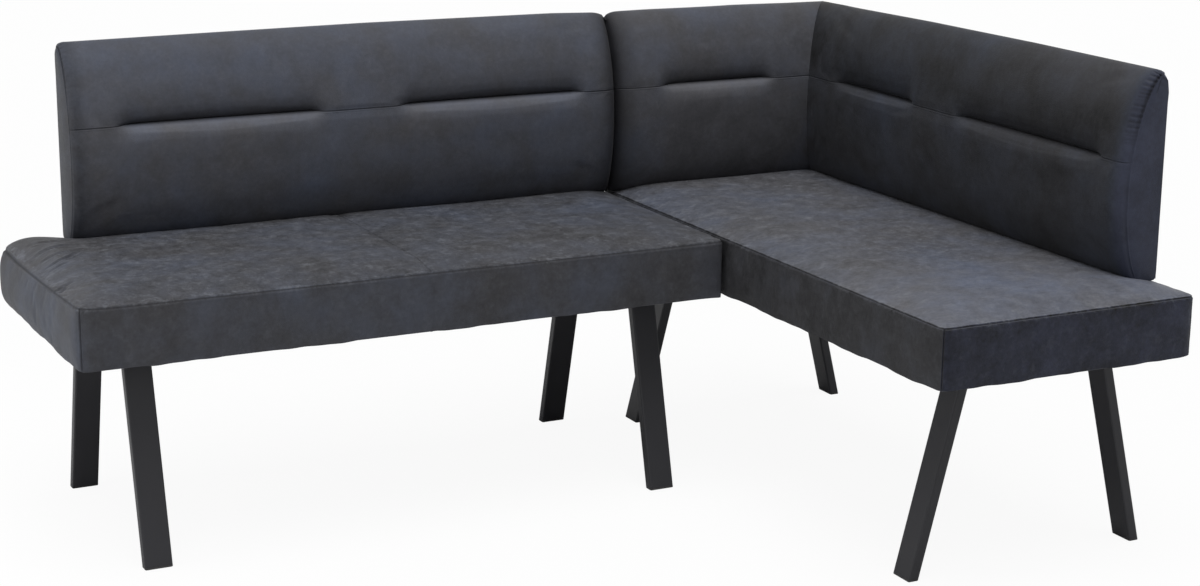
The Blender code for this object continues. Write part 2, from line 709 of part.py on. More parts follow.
def cover_opening(stretch):
    """Where the cover is open, behind the board and underneath, with a hem left round it."""
    left = BACKREST_HEM if stretch["left_radius"] else -BACKREST_HEM
    right = stretch["length"] + (-BACKREST_HEM if stretch["right_radius"] else BACKREST_HEM)
    wall = FABRIC + SOFT_GAP / 2
    toe = BACKREST_FOOT_DEPTH - BACKREST_HEM
    lip = BACKREST_HEIGHT - BACKREST_REAR_LIP
    outline = ((FABRIC, -FABRIC), (-toe, -FABRIC), (-toe, wall), (-wall, wall), (-wall, lip), (FABRIC, lip))
    bm = bmesh.new()
    section = bm.faces.new([bm.verts.new((left, y, z)) for y, z in outline])
    swept = bmesh.ops.extrude_face_region(bm, geom=[section])["geom"]
    moved = [item for item in swept if isinstance(item, bmesh.types.BMVert)]
    bmesh.ops.translate(bm, verts=moved, vec=(right - left, 0.0, 0.0))
    face_outwards(bm)
    return new_cutter(stretch["name"] + "_cover_opening", bm, stretch["frame"])


def backrest_cover(stretch):
    """The sewn cover: the form hollowed to the fabric's thickness and opened behind and underneath."""
    bm = backrest_form(stretch, 0.0)
    mitre(bm, stretch)
    hollow = new_cutter(stretch["name"] + "_cover_hollow", backrest_form(stretch, FABRIC), stretch["frame"])
    cover = new_part(stretch["name"] + "_cover", bm, fabric, stretch["frame"])
    cut(cover, [cover_opening(stretch), hollow])


def backrest_foam(stretch, recesses):
    """The foam inside the cover, with a slot from below for the board."""
    bm = backrest_form(stretch, SKIN)
    mitre(bm, stretch)
    cut(new_part(stretch["name"] + "_foam", bm, foam, stretch["frame"]), recesses)


def rear_cover(stretch):
    bm = bmesh.new()
    left = REAR_COVER_MARGIN if stretch["left_radius"] else 0.0
    right = REAR_COVER_MARGIN if stretch["right_radius"] else 0.0
    low = (left, GAP, REAR_COVER_MARGIN)
    high = (stretch["length"] - right, GAP + FABRIC, BACKREST_HEIGHT - CREST_RADIUS - REAR_COVER_MARGIN)
    add_box(bm, low, high)
    new_part(stretch["name"] + "_rear_cover", bm, fabric, stretch["frame"])


# The backrests' boards, post, brackets and bolts
def board_box(stretch, clearance):
    """The board's space: inset from the ends by the skin and padding, its front flush with the seat rails."""
    end = FRAME_INSET - clearance
    left = end if stretch["left_radius"] else 0.0
    right = end if stretch["right_radius"] else 0.0
    bottom = -SEAT_CROWN if clearance else SKIN
    low = (left, -FRAME_FRONT - clearance, bottom)
    rear = -(FRAME_FRONT - BOARD_THICKNESS) + clearance
    high = (stretch["length"] - right, rear, BACKREST_HEIGHT - BOARD_TOP_COVER + clearance)
    bm = bmesh.new()
    add_box(bm, low, high)
    return bm


def backrest_board(stretch, holes):
    bm = board_box(stretch, 0.0)
    mitre(bm, stretch)
    cut(new_part(stretch["name"] + "_board", bm, wood, stretch["frame"]), holes)


def corner_post(frame, clearance):
    """Space of the square post in the corner of the two boards."""
    bm = bmesh.new()
    near = FRAME_FRONT + GAP - clearance
    far = FRAME_FRONT + GAP + POST_SIDE + clearance
    bottom = POST_RISE - clearance
    high = (-near, -near, BACKREST_HEIGHT - POST_TOP_COVER + clearance)
    add_box(bm, (-far, -far, bottom), high)
    if clearance:
        return new_cutter("corner_post_recess", bm, frame)
    return new_part("corner_backrest_post", bm, wood, frame)


def bracket_box(bm, x, side_clearance, rear, front, low, high):
    half = BRACKET_WIDTH / 2 + side_clearance
    add_box(bm, (x - half, -front, low), (x + half, -rear, high))


def bolt_heights():
    drops = [RAIL_TOP_Z - REST_Z - drop for drop in RAIL_BOLT_DROPS]
    return [*drops, *BOARD_BOLT_HEIGHTS]


def bracket(stretch, name, x):
    """A flat steel bar, bolted to the seat rail below and to the board above."""
    bm = bmesh.new()
    bottom = LEG_RAIL_TOP_Z + BRACKET_CLEARANCE - REST_Z
    bracket_box(bm, x, 0.0, BRACKET_REAR, BRACKET_FRONT, bottom, BRACKET_RISE)
    bar = new_part(f"{stretch['name']}_{name}", bm, zinc, stretch["frame"])
    bolts = bmesh.new()
    for height in bolt_heights():
        size = (BOLT_HEAD_RADIUS, BOLT_HEAD_HEIGHT, BOLT_RADIUS, bolt_length())
        add_fastener(bolts, (x, -(BRACKET_FRONT - GAP), height), (0.0, 1.0, 0.0), *size)
    join(bar, new_cutter(bar.name + "_bolts", bolts, stretch["frame"]))


def bolt_length():
    return BRACKET_FRONT - GAP - (FRAME_FRONT - BOARD_THICKNESS) - BOLT_END_WOOD


def bolt_holes(stretch):
    drill = bmesh.new()
    for name, x in stretch["brackets"]:
        for height in bolt_heights():
            start = (x, -(BRACKET_FRONT - GAP), height)
            add_cylinder(drill, start, (0.0, 1.0, 0.0), BOLT_RADIUS + GAP, bolt_length() + GAP)
    return new_cutter(stretch["name"] + "_bolt_holes", drill, stretch["frame"])


def bracket_slots(stretch):
    """Slots where the brackets pass through the seat cushion."""
    bm = bmesh.new()
    low = RAIL_TOP_Z - REST_Z - GAP
    for name, x in stretch["brackets"]:
        bracket_box(bm, x, SOFT_GAP, FRAME_FRONT - GAP, BRACKET_FRONT + SOFT_GAP, low, SEAT_CROWN)
    return new_cutter(stretch["name"] + "_slots", bm, stretch["frame"])


def foam_recesses(stretch):
    """Room in the backrest's foam for its board, and for the brackets and their bolt heads."""
    board = new_cutter(stretch["name"] + "_board_recess", board_box(stretch, GAP), stretch["frame"])
    front = BRACKET_FRONT + BOLT_HEAD_HEIGHT + SOFT_GAP
    bm = bmesh.new()
    for name, x in stretch["brackets"]:
        bracket_box(bm, x, SOFT_GAP, FRAME_FRONT - GAP, front, -SEAT_CROWN, BRACKET_RISE + SOFT_GAP)
    return [board, new_cutter(stretch["name"] + "_bracket_recess", bm, stretch["frame"])]


def build_backrest(stretch, more_recesses):
    """One backrest stretch. It returns the cutters for its bolts and its brackets' slots in the seat."""
    holes = bolt_holes(stretch)
    for name, x in stretch["brackets"]:
        bracket(stretch, name, x)
    backrest_board(stretch, [holes])
    backrest_cover(stretch)
    backrest_foam(stretch, [*foam_recesses(stretch), *more_recesses])
    rear_cover(stretch)
    return holes, bracket_slots(stretch)


def build_seat(seat, rail_holes, slots, link_holes):
    """One seat on its legs. rail_holes gives the cutters for each rail's holes by the rail's name."""
    leg_holes = []
    for middle, side in zip(leg_middles(seat), seat["leg_sides"]):
        name = f"{seat['name']}_{side}_leg_screws"
        screws, holes = plate_screws(name, leg_screw_points(middle), PLATE_BOTTOM_Z, seat["frame"])
        leg_holes.append(holes)
        leg_rail(seat, side, middle, [holes])
        leg_plate(seat, middle, side, screws)
        for lean in (1, -1):
            leg_tube(seat, middle, side, lean)
            foot_cap(seat, middle, side, lean)
    long_rail(seat, "front", FRAME_INSET, rail_holes.get("front", []))
    long_rail(seat, "rear", SEAT_DEPTH - FRAME_FRONT, rail_holes.get("rear", []))
    start, end = seat["leg_sides"]
    cross_rail(seat, start, FRAME_INSET, rail_holes.get(start, []))
    cross_rail(seat, end, seat["length"] - FRAME_FRONT, rail_holes.get(end, []))
    webbing(seat)
    dust_cover(seat, [*leg_holes, *link_holes])
    seat_cover(seat, slots, link_holes)
    seat_foam(seat, slots)


def link_plate(name, y, parent):
    """A flat plate under the seats that holds the two modules together, and its two screws' holes."""
    rail = FRAME_INSET + RAIL_THICKNESS / 2
    points = [(LONG_SEAT_LENGTH - rail, y), (CORNER_X + rail, y)]
    screws, holes = plate_screws(name + "_screws", points, PLATE_TOP_Z - LINK_THICKNESS, parent)
    bm = bmesh.new()
    low = (LONG_SEAT_LENGTH - LINK_REACH, y - LINK_WIDTH / 2, PLATE_TOP_Z - LINK_THICKNESS)
    add_box(bm, low, (CORNER_X + LINK_REACH, y + LINK_WIDTH / 2, PLATE_TOP_Z))
    join(new_part(name, bm, zinc, parent), screws)
    return holes


clear_scene()
parts = new_collection("corner_bench")
cutters = new_collection("cutters")

fabric = principled("slate leather-look fabric", (58, 60, 68), 0.62)
foam = principled("foam", (226, 214, 170), 0.95)
wood = principled("pine and chipboard", (196, 160, 112), 0.70)
elastic = principled("elastic webbing", (120, 112, 98), 0.85)
dust_cloth = principled("black dust cloth", (24, 24, 26), 0.95)
powder_coat = principled("black powder coat", (38, 38, 42), 0.45, 0.3)
zinc = principled("zinc-plated steel", (176, 178, 180), 0.35, 1.0)
plastic = principled("black plastic", (22, 22, 24), 0.50)

# The bench's bounding box runs from the cushions' bulging free ends to the rear feet or rear covers.
rear_reach = SEAT_DEPTH + max(LEG_FOOT_OVERHANG, SEAT_SIDE_BULGE)
left_edge = -SEAT_SIDE_BULGE
right_edge = CORNER_X + rear_reach
near_edge = SEAT_DEPTH - CORNER_SEAT_LENGTH - SEAT_SIDE_BULGE
origin = (-(left_edge + right_edge) / 2, -(near_edge + rear_reach) / 2, 0.0)

bench = new_empty("bench", location=origin)
long_frame = new_empty("long_module", bench)
corner_frame = new_empty("corner_module", bench, (CORNER_X, SEAT_DEPTH, 0.0), -math.pi / 2)
long_back_frame = new_empty("long_back", bench, (BACKREST_FREE_END_SETBACK, SEAT_DEPTH, REST_Z))
short_back_frame = new_empty("short_back", bench, (SHORT_BACKREST_X, SEAT_DEPTH, REST_Z))
corner_back_frame = new_empty("corner_back", bench, (REAR_X, SEAT_DEPTH, REST_Z), -math.pi / 2)
post_frame = new_empty("post", bench, (REAR_X, SEAT_DEPTH, REST_Z))

# Seats: x = 0 at the long bench's free end, and at the corner module's wall end.
long_seat = {
    "name": "long",
    "frame": long_frame,
    "length": LONG_SEAT_LENGTH,
    "wall_end": False,
    "leg_starts": (LONG_LEFT_LEG_INSET, LONG_SEAT_LENGTH - LONG_RIGHT_LEG_INSET - TUBE_WIDTH),
    "leg_sides": ("left", "right"),
}
corner_seat = {
    "name": "corner",
    "frame": corner_frame,
    "length": CORNER_SEAT_LENGTH,
    "wall_end": True,
    "leg_starts": (CORNER_WALL_LEG_INSET, CORNER_SEAT_LENGTH - CORNER_NEAR_LEG_INSET - TUBE_WIDTH),
    "leg_sides": ("wall", "near"),
}

# Backrest stretches: an end radius of 0 stands for the mitre in the corner.
long_fold = (LONG_BACKREST_LENGTH - 2 * LONG_FOLD_END - LONG_FOLD_MIDDLE) / 2
first_fold = BACKREST_THICKNESS + CORNER_FOLD_END
second_fold = first_fold + CORNER_FIRST_FOLD_LENGTH + CORNER_FOLD_MIDDLE
long_pitch = strap_pitch(long_seat)
corner_pitch = strap_pitch(corner_seat)
long_bracket = FRAME_FRONT + round(LONG_BRACKET_INSET / long_pitch) * long_pitch
corner_bracket = FRAME_FRONT + round(CORNER_BRACKET_INSET / corner_pitch) * corner_pitch
long_back = {
    "name": "long_backrest",
    "frame": long_back_frame,
    "length": LONG_BACKREST_LENGTH,
    "left_radius": FREE_END_RADIUS,
    "right_radius": JOINT_END_RADIUS,
    "folds": (
        (LONG_FOLD_END, LONG_FOLD_END + long_fold),
        (LONG_FOLD_END + long_fold + LONG_FOLD_MIDDLE, LONG_BACKREST_LENGTH - LONG_FOLD_END),
    ),
    "brackets": (
        ("left_bracket", long_bracket - BACKREST_FREE_END_SETBACK),
        ("right_bracket", LONG_SEAT_LENGTH - long_bracket - BACKREST_FREE_END_SETBACK),
    ),
}
short_back = {
    "name": "corner_backrest_short",
    "frame": short_back_frame,
    "length": SHORT_BACKREST_LENGTH,
    "left_radius": JOINT_END_RADIUS,
    "right_radius": 0.0,
    "folds": ((SHORT_FOLD_END, SHORT_FOLD_END + SHORT_FOLD_LENGTH),),
    "brackets": (("bracket", SHORT_BACKREST_LENGTH - SEAT_DEPTH / 2),),
}
corner_back = {
    "name": "corner_backrest_long",
    "frame": corner_back_frame,
    "length": CORNER_BACKREST_LENGTH,
    "left_radius": 0.0,
    "right_radius": FREE_END_RADIUS,
    "folds": (
        (first_fold, first_fold + CORNER_FIRST_FOLD_LENGTH),
        (second_fold, CORNER_BACKREST_LENGTH - CORNER_LAST_FOLD_END),
    ),
    "brackets": (
        ("wall_bracket", corner_bracket),
        ("near_bracket", CORNER_SEAT_LENGTH - corner_bracket),
    ),
}

corner_post(post_frame, 0.0)
post_recess = corner_post(post_frame, GAP)
long_bolts, long_slots = build_backrest(long_back, [])
short_bolts, short_slots = build_backrest(short_back, [post_recess])
corner_bolts, corner_slots = build_backrest(corner_back, [post_recess])
front_link_holes = link_plate("module_link_front", LINK_INSET, bench)
rear_link_holes = link_plate("module_link_rear", SEAT_DEPTH - LINK_INSET, bench)
link_holes = [front_link_holes, rear_link_holes]
long_rail_holes = {"rear": [long_bolts], "right": link_holes}
corner_rail_holes = {"front": link_holes, "rear": [corner_bolts], "wall": [short_bolts]}
build_seat(long_seat, long_rail_holes, [long_slots], link_holes)
build_seat(corner_seat, corner_rail_holes, [short_slots, corner_slots], link_holes)
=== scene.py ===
import json
import math

import bmesh
import bpy
import numpy as np
from mathutils import Matrix, Vector

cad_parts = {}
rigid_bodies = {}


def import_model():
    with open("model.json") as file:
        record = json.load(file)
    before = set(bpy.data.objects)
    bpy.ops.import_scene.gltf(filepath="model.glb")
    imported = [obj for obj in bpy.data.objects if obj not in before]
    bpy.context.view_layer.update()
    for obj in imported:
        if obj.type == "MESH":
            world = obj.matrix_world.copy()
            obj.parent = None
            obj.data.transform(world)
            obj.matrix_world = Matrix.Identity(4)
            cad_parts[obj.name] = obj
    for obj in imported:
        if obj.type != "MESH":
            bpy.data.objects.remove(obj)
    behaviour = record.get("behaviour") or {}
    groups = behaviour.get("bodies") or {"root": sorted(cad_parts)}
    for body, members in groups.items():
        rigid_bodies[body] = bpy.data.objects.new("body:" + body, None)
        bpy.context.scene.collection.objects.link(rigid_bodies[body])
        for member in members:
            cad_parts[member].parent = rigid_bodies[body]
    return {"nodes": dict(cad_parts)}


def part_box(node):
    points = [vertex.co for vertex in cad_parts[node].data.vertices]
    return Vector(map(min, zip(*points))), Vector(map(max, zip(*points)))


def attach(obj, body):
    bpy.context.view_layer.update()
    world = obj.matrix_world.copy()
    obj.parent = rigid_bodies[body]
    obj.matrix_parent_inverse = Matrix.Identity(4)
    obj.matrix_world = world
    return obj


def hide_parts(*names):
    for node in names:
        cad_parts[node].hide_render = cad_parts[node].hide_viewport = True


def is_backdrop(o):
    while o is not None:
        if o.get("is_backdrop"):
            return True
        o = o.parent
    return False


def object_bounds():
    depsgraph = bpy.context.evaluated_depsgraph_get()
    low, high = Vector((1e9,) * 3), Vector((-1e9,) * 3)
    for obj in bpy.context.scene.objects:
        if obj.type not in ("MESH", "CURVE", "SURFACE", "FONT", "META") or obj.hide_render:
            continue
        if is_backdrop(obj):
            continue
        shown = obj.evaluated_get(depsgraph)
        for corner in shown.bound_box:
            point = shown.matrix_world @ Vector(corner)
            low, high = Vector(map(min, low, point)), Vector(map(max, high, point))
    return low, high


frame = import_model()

# The corner bench is two upholstered modules that stand side by side on powder-coated leg frames: a straight
# bench along the wall and a corner module whose seat runs out into the room. Everything here is in metres.
for left_over in [o for o in bpy.data.objects if o.name in ("Cube", "Light", "Camera")]:
    bpy.data.objects.remove(left_over)
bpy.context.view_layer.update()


# --- Camera -------------------------------------------------------------------------------------------------
# The photograph was taken from the left, a little above a sitting person's head, with a longish lens that
# looks slightly down. Place, turn and focal length were fitted to the seams and feet of the bench.
CAMERA_PLACE = Vector((-1.85865, -3.71605, 1.5078))
CAMERA_YAW, CAMERA_PITCH, CAMERA_ROLL = (math.radians(a) for a in (-27.0601, -14.3879, 0.6053))
ahead = Vector((-math.sin(CAMERA_YAW) * math.cos(CAMERA_PITCH), math.cos(CAMERA_YAW) * math.cos(CAMERA_PITCH),
                math.sin(CAMERA_PITCH)))
level = Vector((math.cos(CAMERA_YAW), math.sin(CAMERA_YAW), 0))
upright = level.cross(ahead)
rightward = math.cos(CAMERA_ROLL) * level + math.sin(CAMERA_ROLL) * upright
upward = math.cos(CAMERA_ROLL) * upright - math.sin(CAMERA_ROLL) * level
bpy.ops.object.camera_add()
camera = bpy.context.object
camera.name = "camera"
turn = Matrix((rightward, upward, -ahead)).transposed().to_4x4()
camera.matrix_world = Matrix.Translation(CAMERA_PLACE) @ turn
camera.data.sensor_width = 36
camera.data.lens = 71.98
camera.data.clip_end = 200
bpy.context.scene.camera = camera
bpy.context.scene.view_settings.view_transform = "Standard"


# --- Shader sums and finishes -------------------------------------------------------------------------------
class Value:
    """A node's output that can stand in a sum."""

    def __init__(self, tree, socket):
        self.tree, self.socket = tree, socket

    def reckon(self, operation, first, second):
        node = self.tree.nodes.new("ShaderNodeMath")
        node.operation = operation
        for place, term in zip(node.inputs, (first, second)):
            if isinstance(term, Value):
                self.tree.links.new(term.socket, place)
            else:
                place.default_value = term
        return Value(self.tree, node.outputs[0])

    def __add__(self, other):
        return self.reckon("ADD", self, other)

    def __sub__(self, other):
        return self.reckon("SUBTRACT", self, other)

    def __rsub__(self, other):
        return self.reckon("SUBTRACT", other, self)

    def __mul__(self, other):
        return self.reckon("MULTIPLY", self, other)

    def __pow__(self, other):
        return self.reckon("POWER", self, other)

    __radd__, __rmul__ = __add__, __mul__


class Finish:
    """A material, built round its surface shader. Settings that are the same all over go on the shader."""

    def __init__(self, name, **even):
        self.material = bpy.data.materials.new(name)
        self.material.use_nodes = True
        self.tree = self.material.node_tree
        self.shader = self.tree.nodes["Principled BSDF"]
        for words, amount in even.items():
            self.shader.inputs[words.replace("_", " ").title().replace("Ior", "IOR")].default_value = amount

    def node(self, kind, settings, inputs, out=0):
        node = self.tree.nodes.new("ShaderNode" + kind)
        for name, choice in settings.items():
            setattr(node, name, choice)
        for name, term in inputs.items():
            if isinstance(term, Value):
                self.tree.links.new(term.socket, node.inputs[name])
            else:
                node.inputs[name].default_value = term
        return Value(self.tree, node.outputs[out])

    def place(self, stretch=(1, 1, 1)):
        spot = self.node("TexCoord", {}, {}, "Object")
        return self.node("Mapping", {}, {"Vector": spot, "Scale": stretch})

    def above_floor(self):
        return self.node("SeparateXYZ", {}, {"Vector": self.node("TexCoord", {}, {}, "Object")}, 2)

    def noise(self, where, scale, detail=3.0, rough=0.5, swirl=0.0):
        return self.node("TexNoise", {}, {"Vector": where, "Scale": scale, "Detail": detail, "Roughness": rough,
                                          "Distortion": swirl})

    def spread(self, amount, low, high, bottom=0.0, top=1.0):
        return self.node("MapRange", {"clamp": True}, {"Value": amount, "From Min": low, "From Max": high,
                                                       "To Min": bottom, "To Max": top})

    def mix(self, share, first, second, how="MIX"):
        return self.node("Mix", {"data_type": "RGBA", "blend_type": how}, {0: share, 6: first, 7: second}, 2)

    def ready(self, colour, rough, height=None, depth=0.0):
        links = self.tree.links
        links.new(colour.socket, self.shader.inputs["Base Color"])
        links.new(rough.socket, self.shader.inputs["Roughness"])
        if height is not None:
            bump = self.node("Bump", {}, {"Height": height, "Distance": depth, "Strength": 1.0})
            links.new(bump.socket, self.shader.inputs["Normal"])
        return self.material


def shade(red, green, blue):
    """A colour as a screen shows it, 0 to 255, as the linear colour that a shader takes."""
    shares = (amount / 255 for amount in (red, green, blue))
    return tuple(c / 12.92 if c < 0.0404 else ((c + 0.055) / 1.055) ** 2.4 for c in shares) + (1,)


# --- Studio -------------------------------------------------------------------------------------------------
# A pale floor that runs out of sight, a surround that is white to look at and dim as a light, a broad soft lamp
# overhead and a weak one close by on the left, as for a catalogue picture on white.
SURROUND = 0.27         # the surround's share of light on the bench
WHITENED = 0.93         # how far the camera sees the floor as plain white, so that its shadows are faint
bpy.ops.object.select_all(action="DESELECT")
bpy.ops.mesh.primitive_plane_add(size=160)
floor = bpy.context.object
floor.name = "floor"
floor_finish = Finish("studio_floor", specular_ior_level=0.1)
floor_cloud = floor_finish.noise(floor_finish.place(), 0.6, 2.0)
floor.data.materials.append(floor_finish.ready(
    floor_finish.mix(floor_cloud, shade(240, 240, 240), shade(243, 243, 243)),
    floor_finish.spread(floor_cloud, 0.3, 0.7, 0.85, 0.9)))
sweep = floor_finish.node("Emission", {}, {"Color": (1, 1, 1, 1), "Strength": 1.0})
straight = floor_finish.node("LightPath", {}, {}, "Is Camera Ray")
on_floor = Value(floor_finish.tree, floor_finish.shader.outputs[0])
shown = floor_finish.node("MixShader", {}, {0: straight * WHITENED, 1: on_floor, 2: sweep})
floor_finish.tree.links.new(shown.socket, floor_finish.tree.nodes["Material Output"].inputs["Surface"])
floor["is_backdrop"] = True

world = bpy.data.worlds.new("studio")
world.use_nodes = True
bpy.context.scene.world = world
seen = world.node_tree.nodes.new("ShaderNodeLightPath")
backdrop = world.node_tree.nodes["Background"]
backdrop.inputs["Color"].default_value = (1, 1, 1, 1)
seen_straight = Value(world.node_tree, seen.outputs["Is Camera Ray"])
seen_in_gloss = Value(world.node_tree, seen.outputs["Is Glossy Ray"])
seen_through = Value(world.node_tree, seen.outputs["Is Transmission Ray"])
told = (1 - seen_straight) * (1 - seen_in_gloss) * (1 - seen_through)
world.node_tree.links.new((1 - told * (1 - SURROUND)).socket, backdrop.inputs["Strength"])


def lamp(kind, name, place, towards, strength, width):
    """A lamp with soft shadows: a sun's width is an angle in degrees, a panel's is its side in metres."""
    bpy.ops.object.light_add(type=kind, location=place)
    light = bpy.context.object
    light.name = name
    light.data.energy = strength
    if kind == "SUN":
        light.data.angle = math.radians(width)
    else:
        light.data.size = width
    light.rotation_euler = Vector(towards).to_track_quat("-Z", "Y").to_euler()


lamp("SUN", "overhead_lamp", (0, 0, 4), towards=(0.10, 0.32, -1.25), strength=2.15, width=45)
lamp("AREA", "left_lamp", (-1.85, 0.25, 0.95), towards=(1.0, 0.05, -0.3), strength=5.5, width=0.8)


# --- Leg frames ---------------------------------------------------------------------------------------------
# Each leg frame is two flat steel tubes, welded to a steel plate that is screwed up into the seat frame, and
# powder-coated a dark satin grey. Black moulded plastic caps close the tubes and stand on the floor.
LEG_FRAMES = ("long_left_leg", "long_right_leg", "corner_wall_leg", "corner_near_leg")


def powder_coat():
    coat = Finish("powder_coated_steel", metallic=0.0, specular_ior_level=0.3)
    where = coat.place()
    peel = coat.noise(where, 900.0, 2.0, 0.6)
    cloud = coat.noise(where, 9.0, 4.0, 0.55)
    scuff = coat.spread(coat.noise(coat.place((1, 1, 0.2)), 60.0, 6.0, 0.7), 0.66, 0.78)
    near_floor = coat.spread(coat.above_floor(), 0.0, 0.12, 1.0, 0.0)
    colour = coat.mix(cloud, shade(36, 36, 39), shade(43, 43, 47))
    colour = coat.mix(scuff * 0.25 * (0.3 + near_floor), colour, shade(74, 73, 74))
    rough = coat.spread(cloud, 0.3, 0.7, 0.42, 0.5) + scuff * 0.12
    return coat.ready(colour, rough, peel, 0.00012)


def moulded_plastic():
    plastic = Finish("black_plastic", specular_ior_level=0.4)
    where = plastic.place()
    spark = plastic.noise(where, 2200.0, 1.0, 0.5)
    cloud = plastic.noise(where, 40.0, 3.0, 0.6)
    dust = plastic.spread(plastic.above_floor(), 0.0, 0.006, 0.22, 0.0)
    colour = plastic.mix(cloud, shade(33, 33, 35), shade(39, 39, 41))
    colour = plastic.mix(dust, colour, shade(80, 78, 75))
    return plastic.ready(colour, plastic.spread(cloud, 0.3, 0.7, 0.5, 0.62), spark, 0.0001)


def refinish(material, *nodes):
    for node in nodes:
        for holder in frame["nodes"][node].material_slots:
            holder.material = material


coat, plastic = powder_coat(), moulded_plastic()
for leg in LEG_FRAMES:
    refinish(coat, leg + "_front_tube", leg + "_rear_tube", leg + "_plate")
    refinish(plastic, leg + "_front_cap", leg + "_rear_cap")


# --- Seat frames, webbing and fittings ----------------------------------------------------------------------
# Under the upholstery are glued and screwed softwood rails, elastic webbing across them, board and post in the
# backrests, bright zinc-plated brackets and the two link plates that hold the modules together.
def sawn_timber():
    timber = Finish("timber", specular_ior_level=0.3)
    along = timber.place((3, 3, 22))
    rings = timber.node("TexWave", {"wave_type": "RINGS", "bands_direction": "Z"},
                        {"Vector": timber.place((1, 1, 1)), "Scale": 9.0, "Distortion": 9.0, "Detail": 4.0})
    fibre = timber.noise(along, 30.0, 6.0, 0.65)
    colour = timber.mix(rings, shade(196, 160, 114), shade(170, 130, 86))
    colour = timber.mix(timber.spread(fibre, 0.45, 0.75, 0.0, 0.35), colour, shade(140, 102, 64))
    return timber.ready(colour, timber.spread(fibre, 0.3, 0.7, 0.62, 0.78), fibre, 0.0003)


def elastic_webbing():
    webbing = Finish("elastic_webbing", specular_ior_level=0.2)
    weave = webbing.node("TexWave", {"bands_direction": "X"}, {"Vector": webbing.place(), "Scale": 260.0})
    ribs = webbing.node("TexWave", {"bands_direction": "Y"}, {"Vector": webbing.place(), "Scale": 260.0})
    fuzz = webbing.noise(webbing.place(), 700.0, 2.0)
    colour = webbing.mix(weave * ribs, shade(40, 39, 38), shade(66, 64, 60))
    return webbing.ready(colour, webbing.spread(fuzz, 0.3, 0.7, 0.75, 0.9), weave * ribs + fuzz * 0.3, 0.0004)


def bright_zinc():
    zinc = Finish("zinc_plated_steel", metallic=1.0)
    where = zinc.place()
    bloom = zinc.noise(where, 55.0, 5.0, 0.6)
    brush = zinc.noise(zinc.place((1, 1, 0.05)), 900.0, 2.0)
    colour = zinc.mix(bloom, shade(184, 187, 192), shade(203, 204, 200))
    return zinc.ready(colour, zinc.spread(bloom + brush * 0.3, 0.4, 0.9, 0.26, 0.42), brush, 0.00005)


timber, webbing, zinc = sawn_timber(), elastic_webbing(), bright_zinc()
for name in frame["nodes"]:
    if name.endswith(("_rail", "_board", "_post")):
        refinish(timber, name)
    elif name.endswith("_webbing"):
        refinish(webbing, name)
    elif name.endswith("_bracket") or name.startswith("module_link"):
        refinish(zinc, name)


# --- Seat cushions ------------------------------------------------------------------------------------------
# Each seat is a foam block in a sewn cover: a slightly crowned top panel, straight side bands joined to it and
# to each other by plain seams, and a hem that is turned in and stapled under the frame.
SEAT_BOTTOM, SEAT_SEAM, SEAT_TOP = 0.377, 0.485, 0.4985
# Each seat's corners in plan, how often its box is cut along each axis, where a seam crosses its top, how light
# and then how blue its (top, left, front, other) panels are, and how worn its top is. The lightness of each
# panel is painted light and shade; the blueness differs as cut from different places of the roll.
SEATS = {
    "long": {"low": (-0.88575, 0.08325), "high": (0.34425, 0.60925), "parts": ((12, 13), (8, 9), (14,)),
             "cross": -0.2505, "panels": ((0.29, 0.26, 0.27, 0.4), (0.4, 0.7, 0.45, 0.5)), "worn": 0.5},
    "corner": {"low": (0.35425, -0.61475), "high": (0.88025, 0.60925), "parts": ((8, 9), (12, 13), (14,)),
               "cross": None, "panels": ((0.51, 0.12, 0.04, 0.4), (0.45, 0.2, 1.5, 0.6)), "worn": 0.72},
}


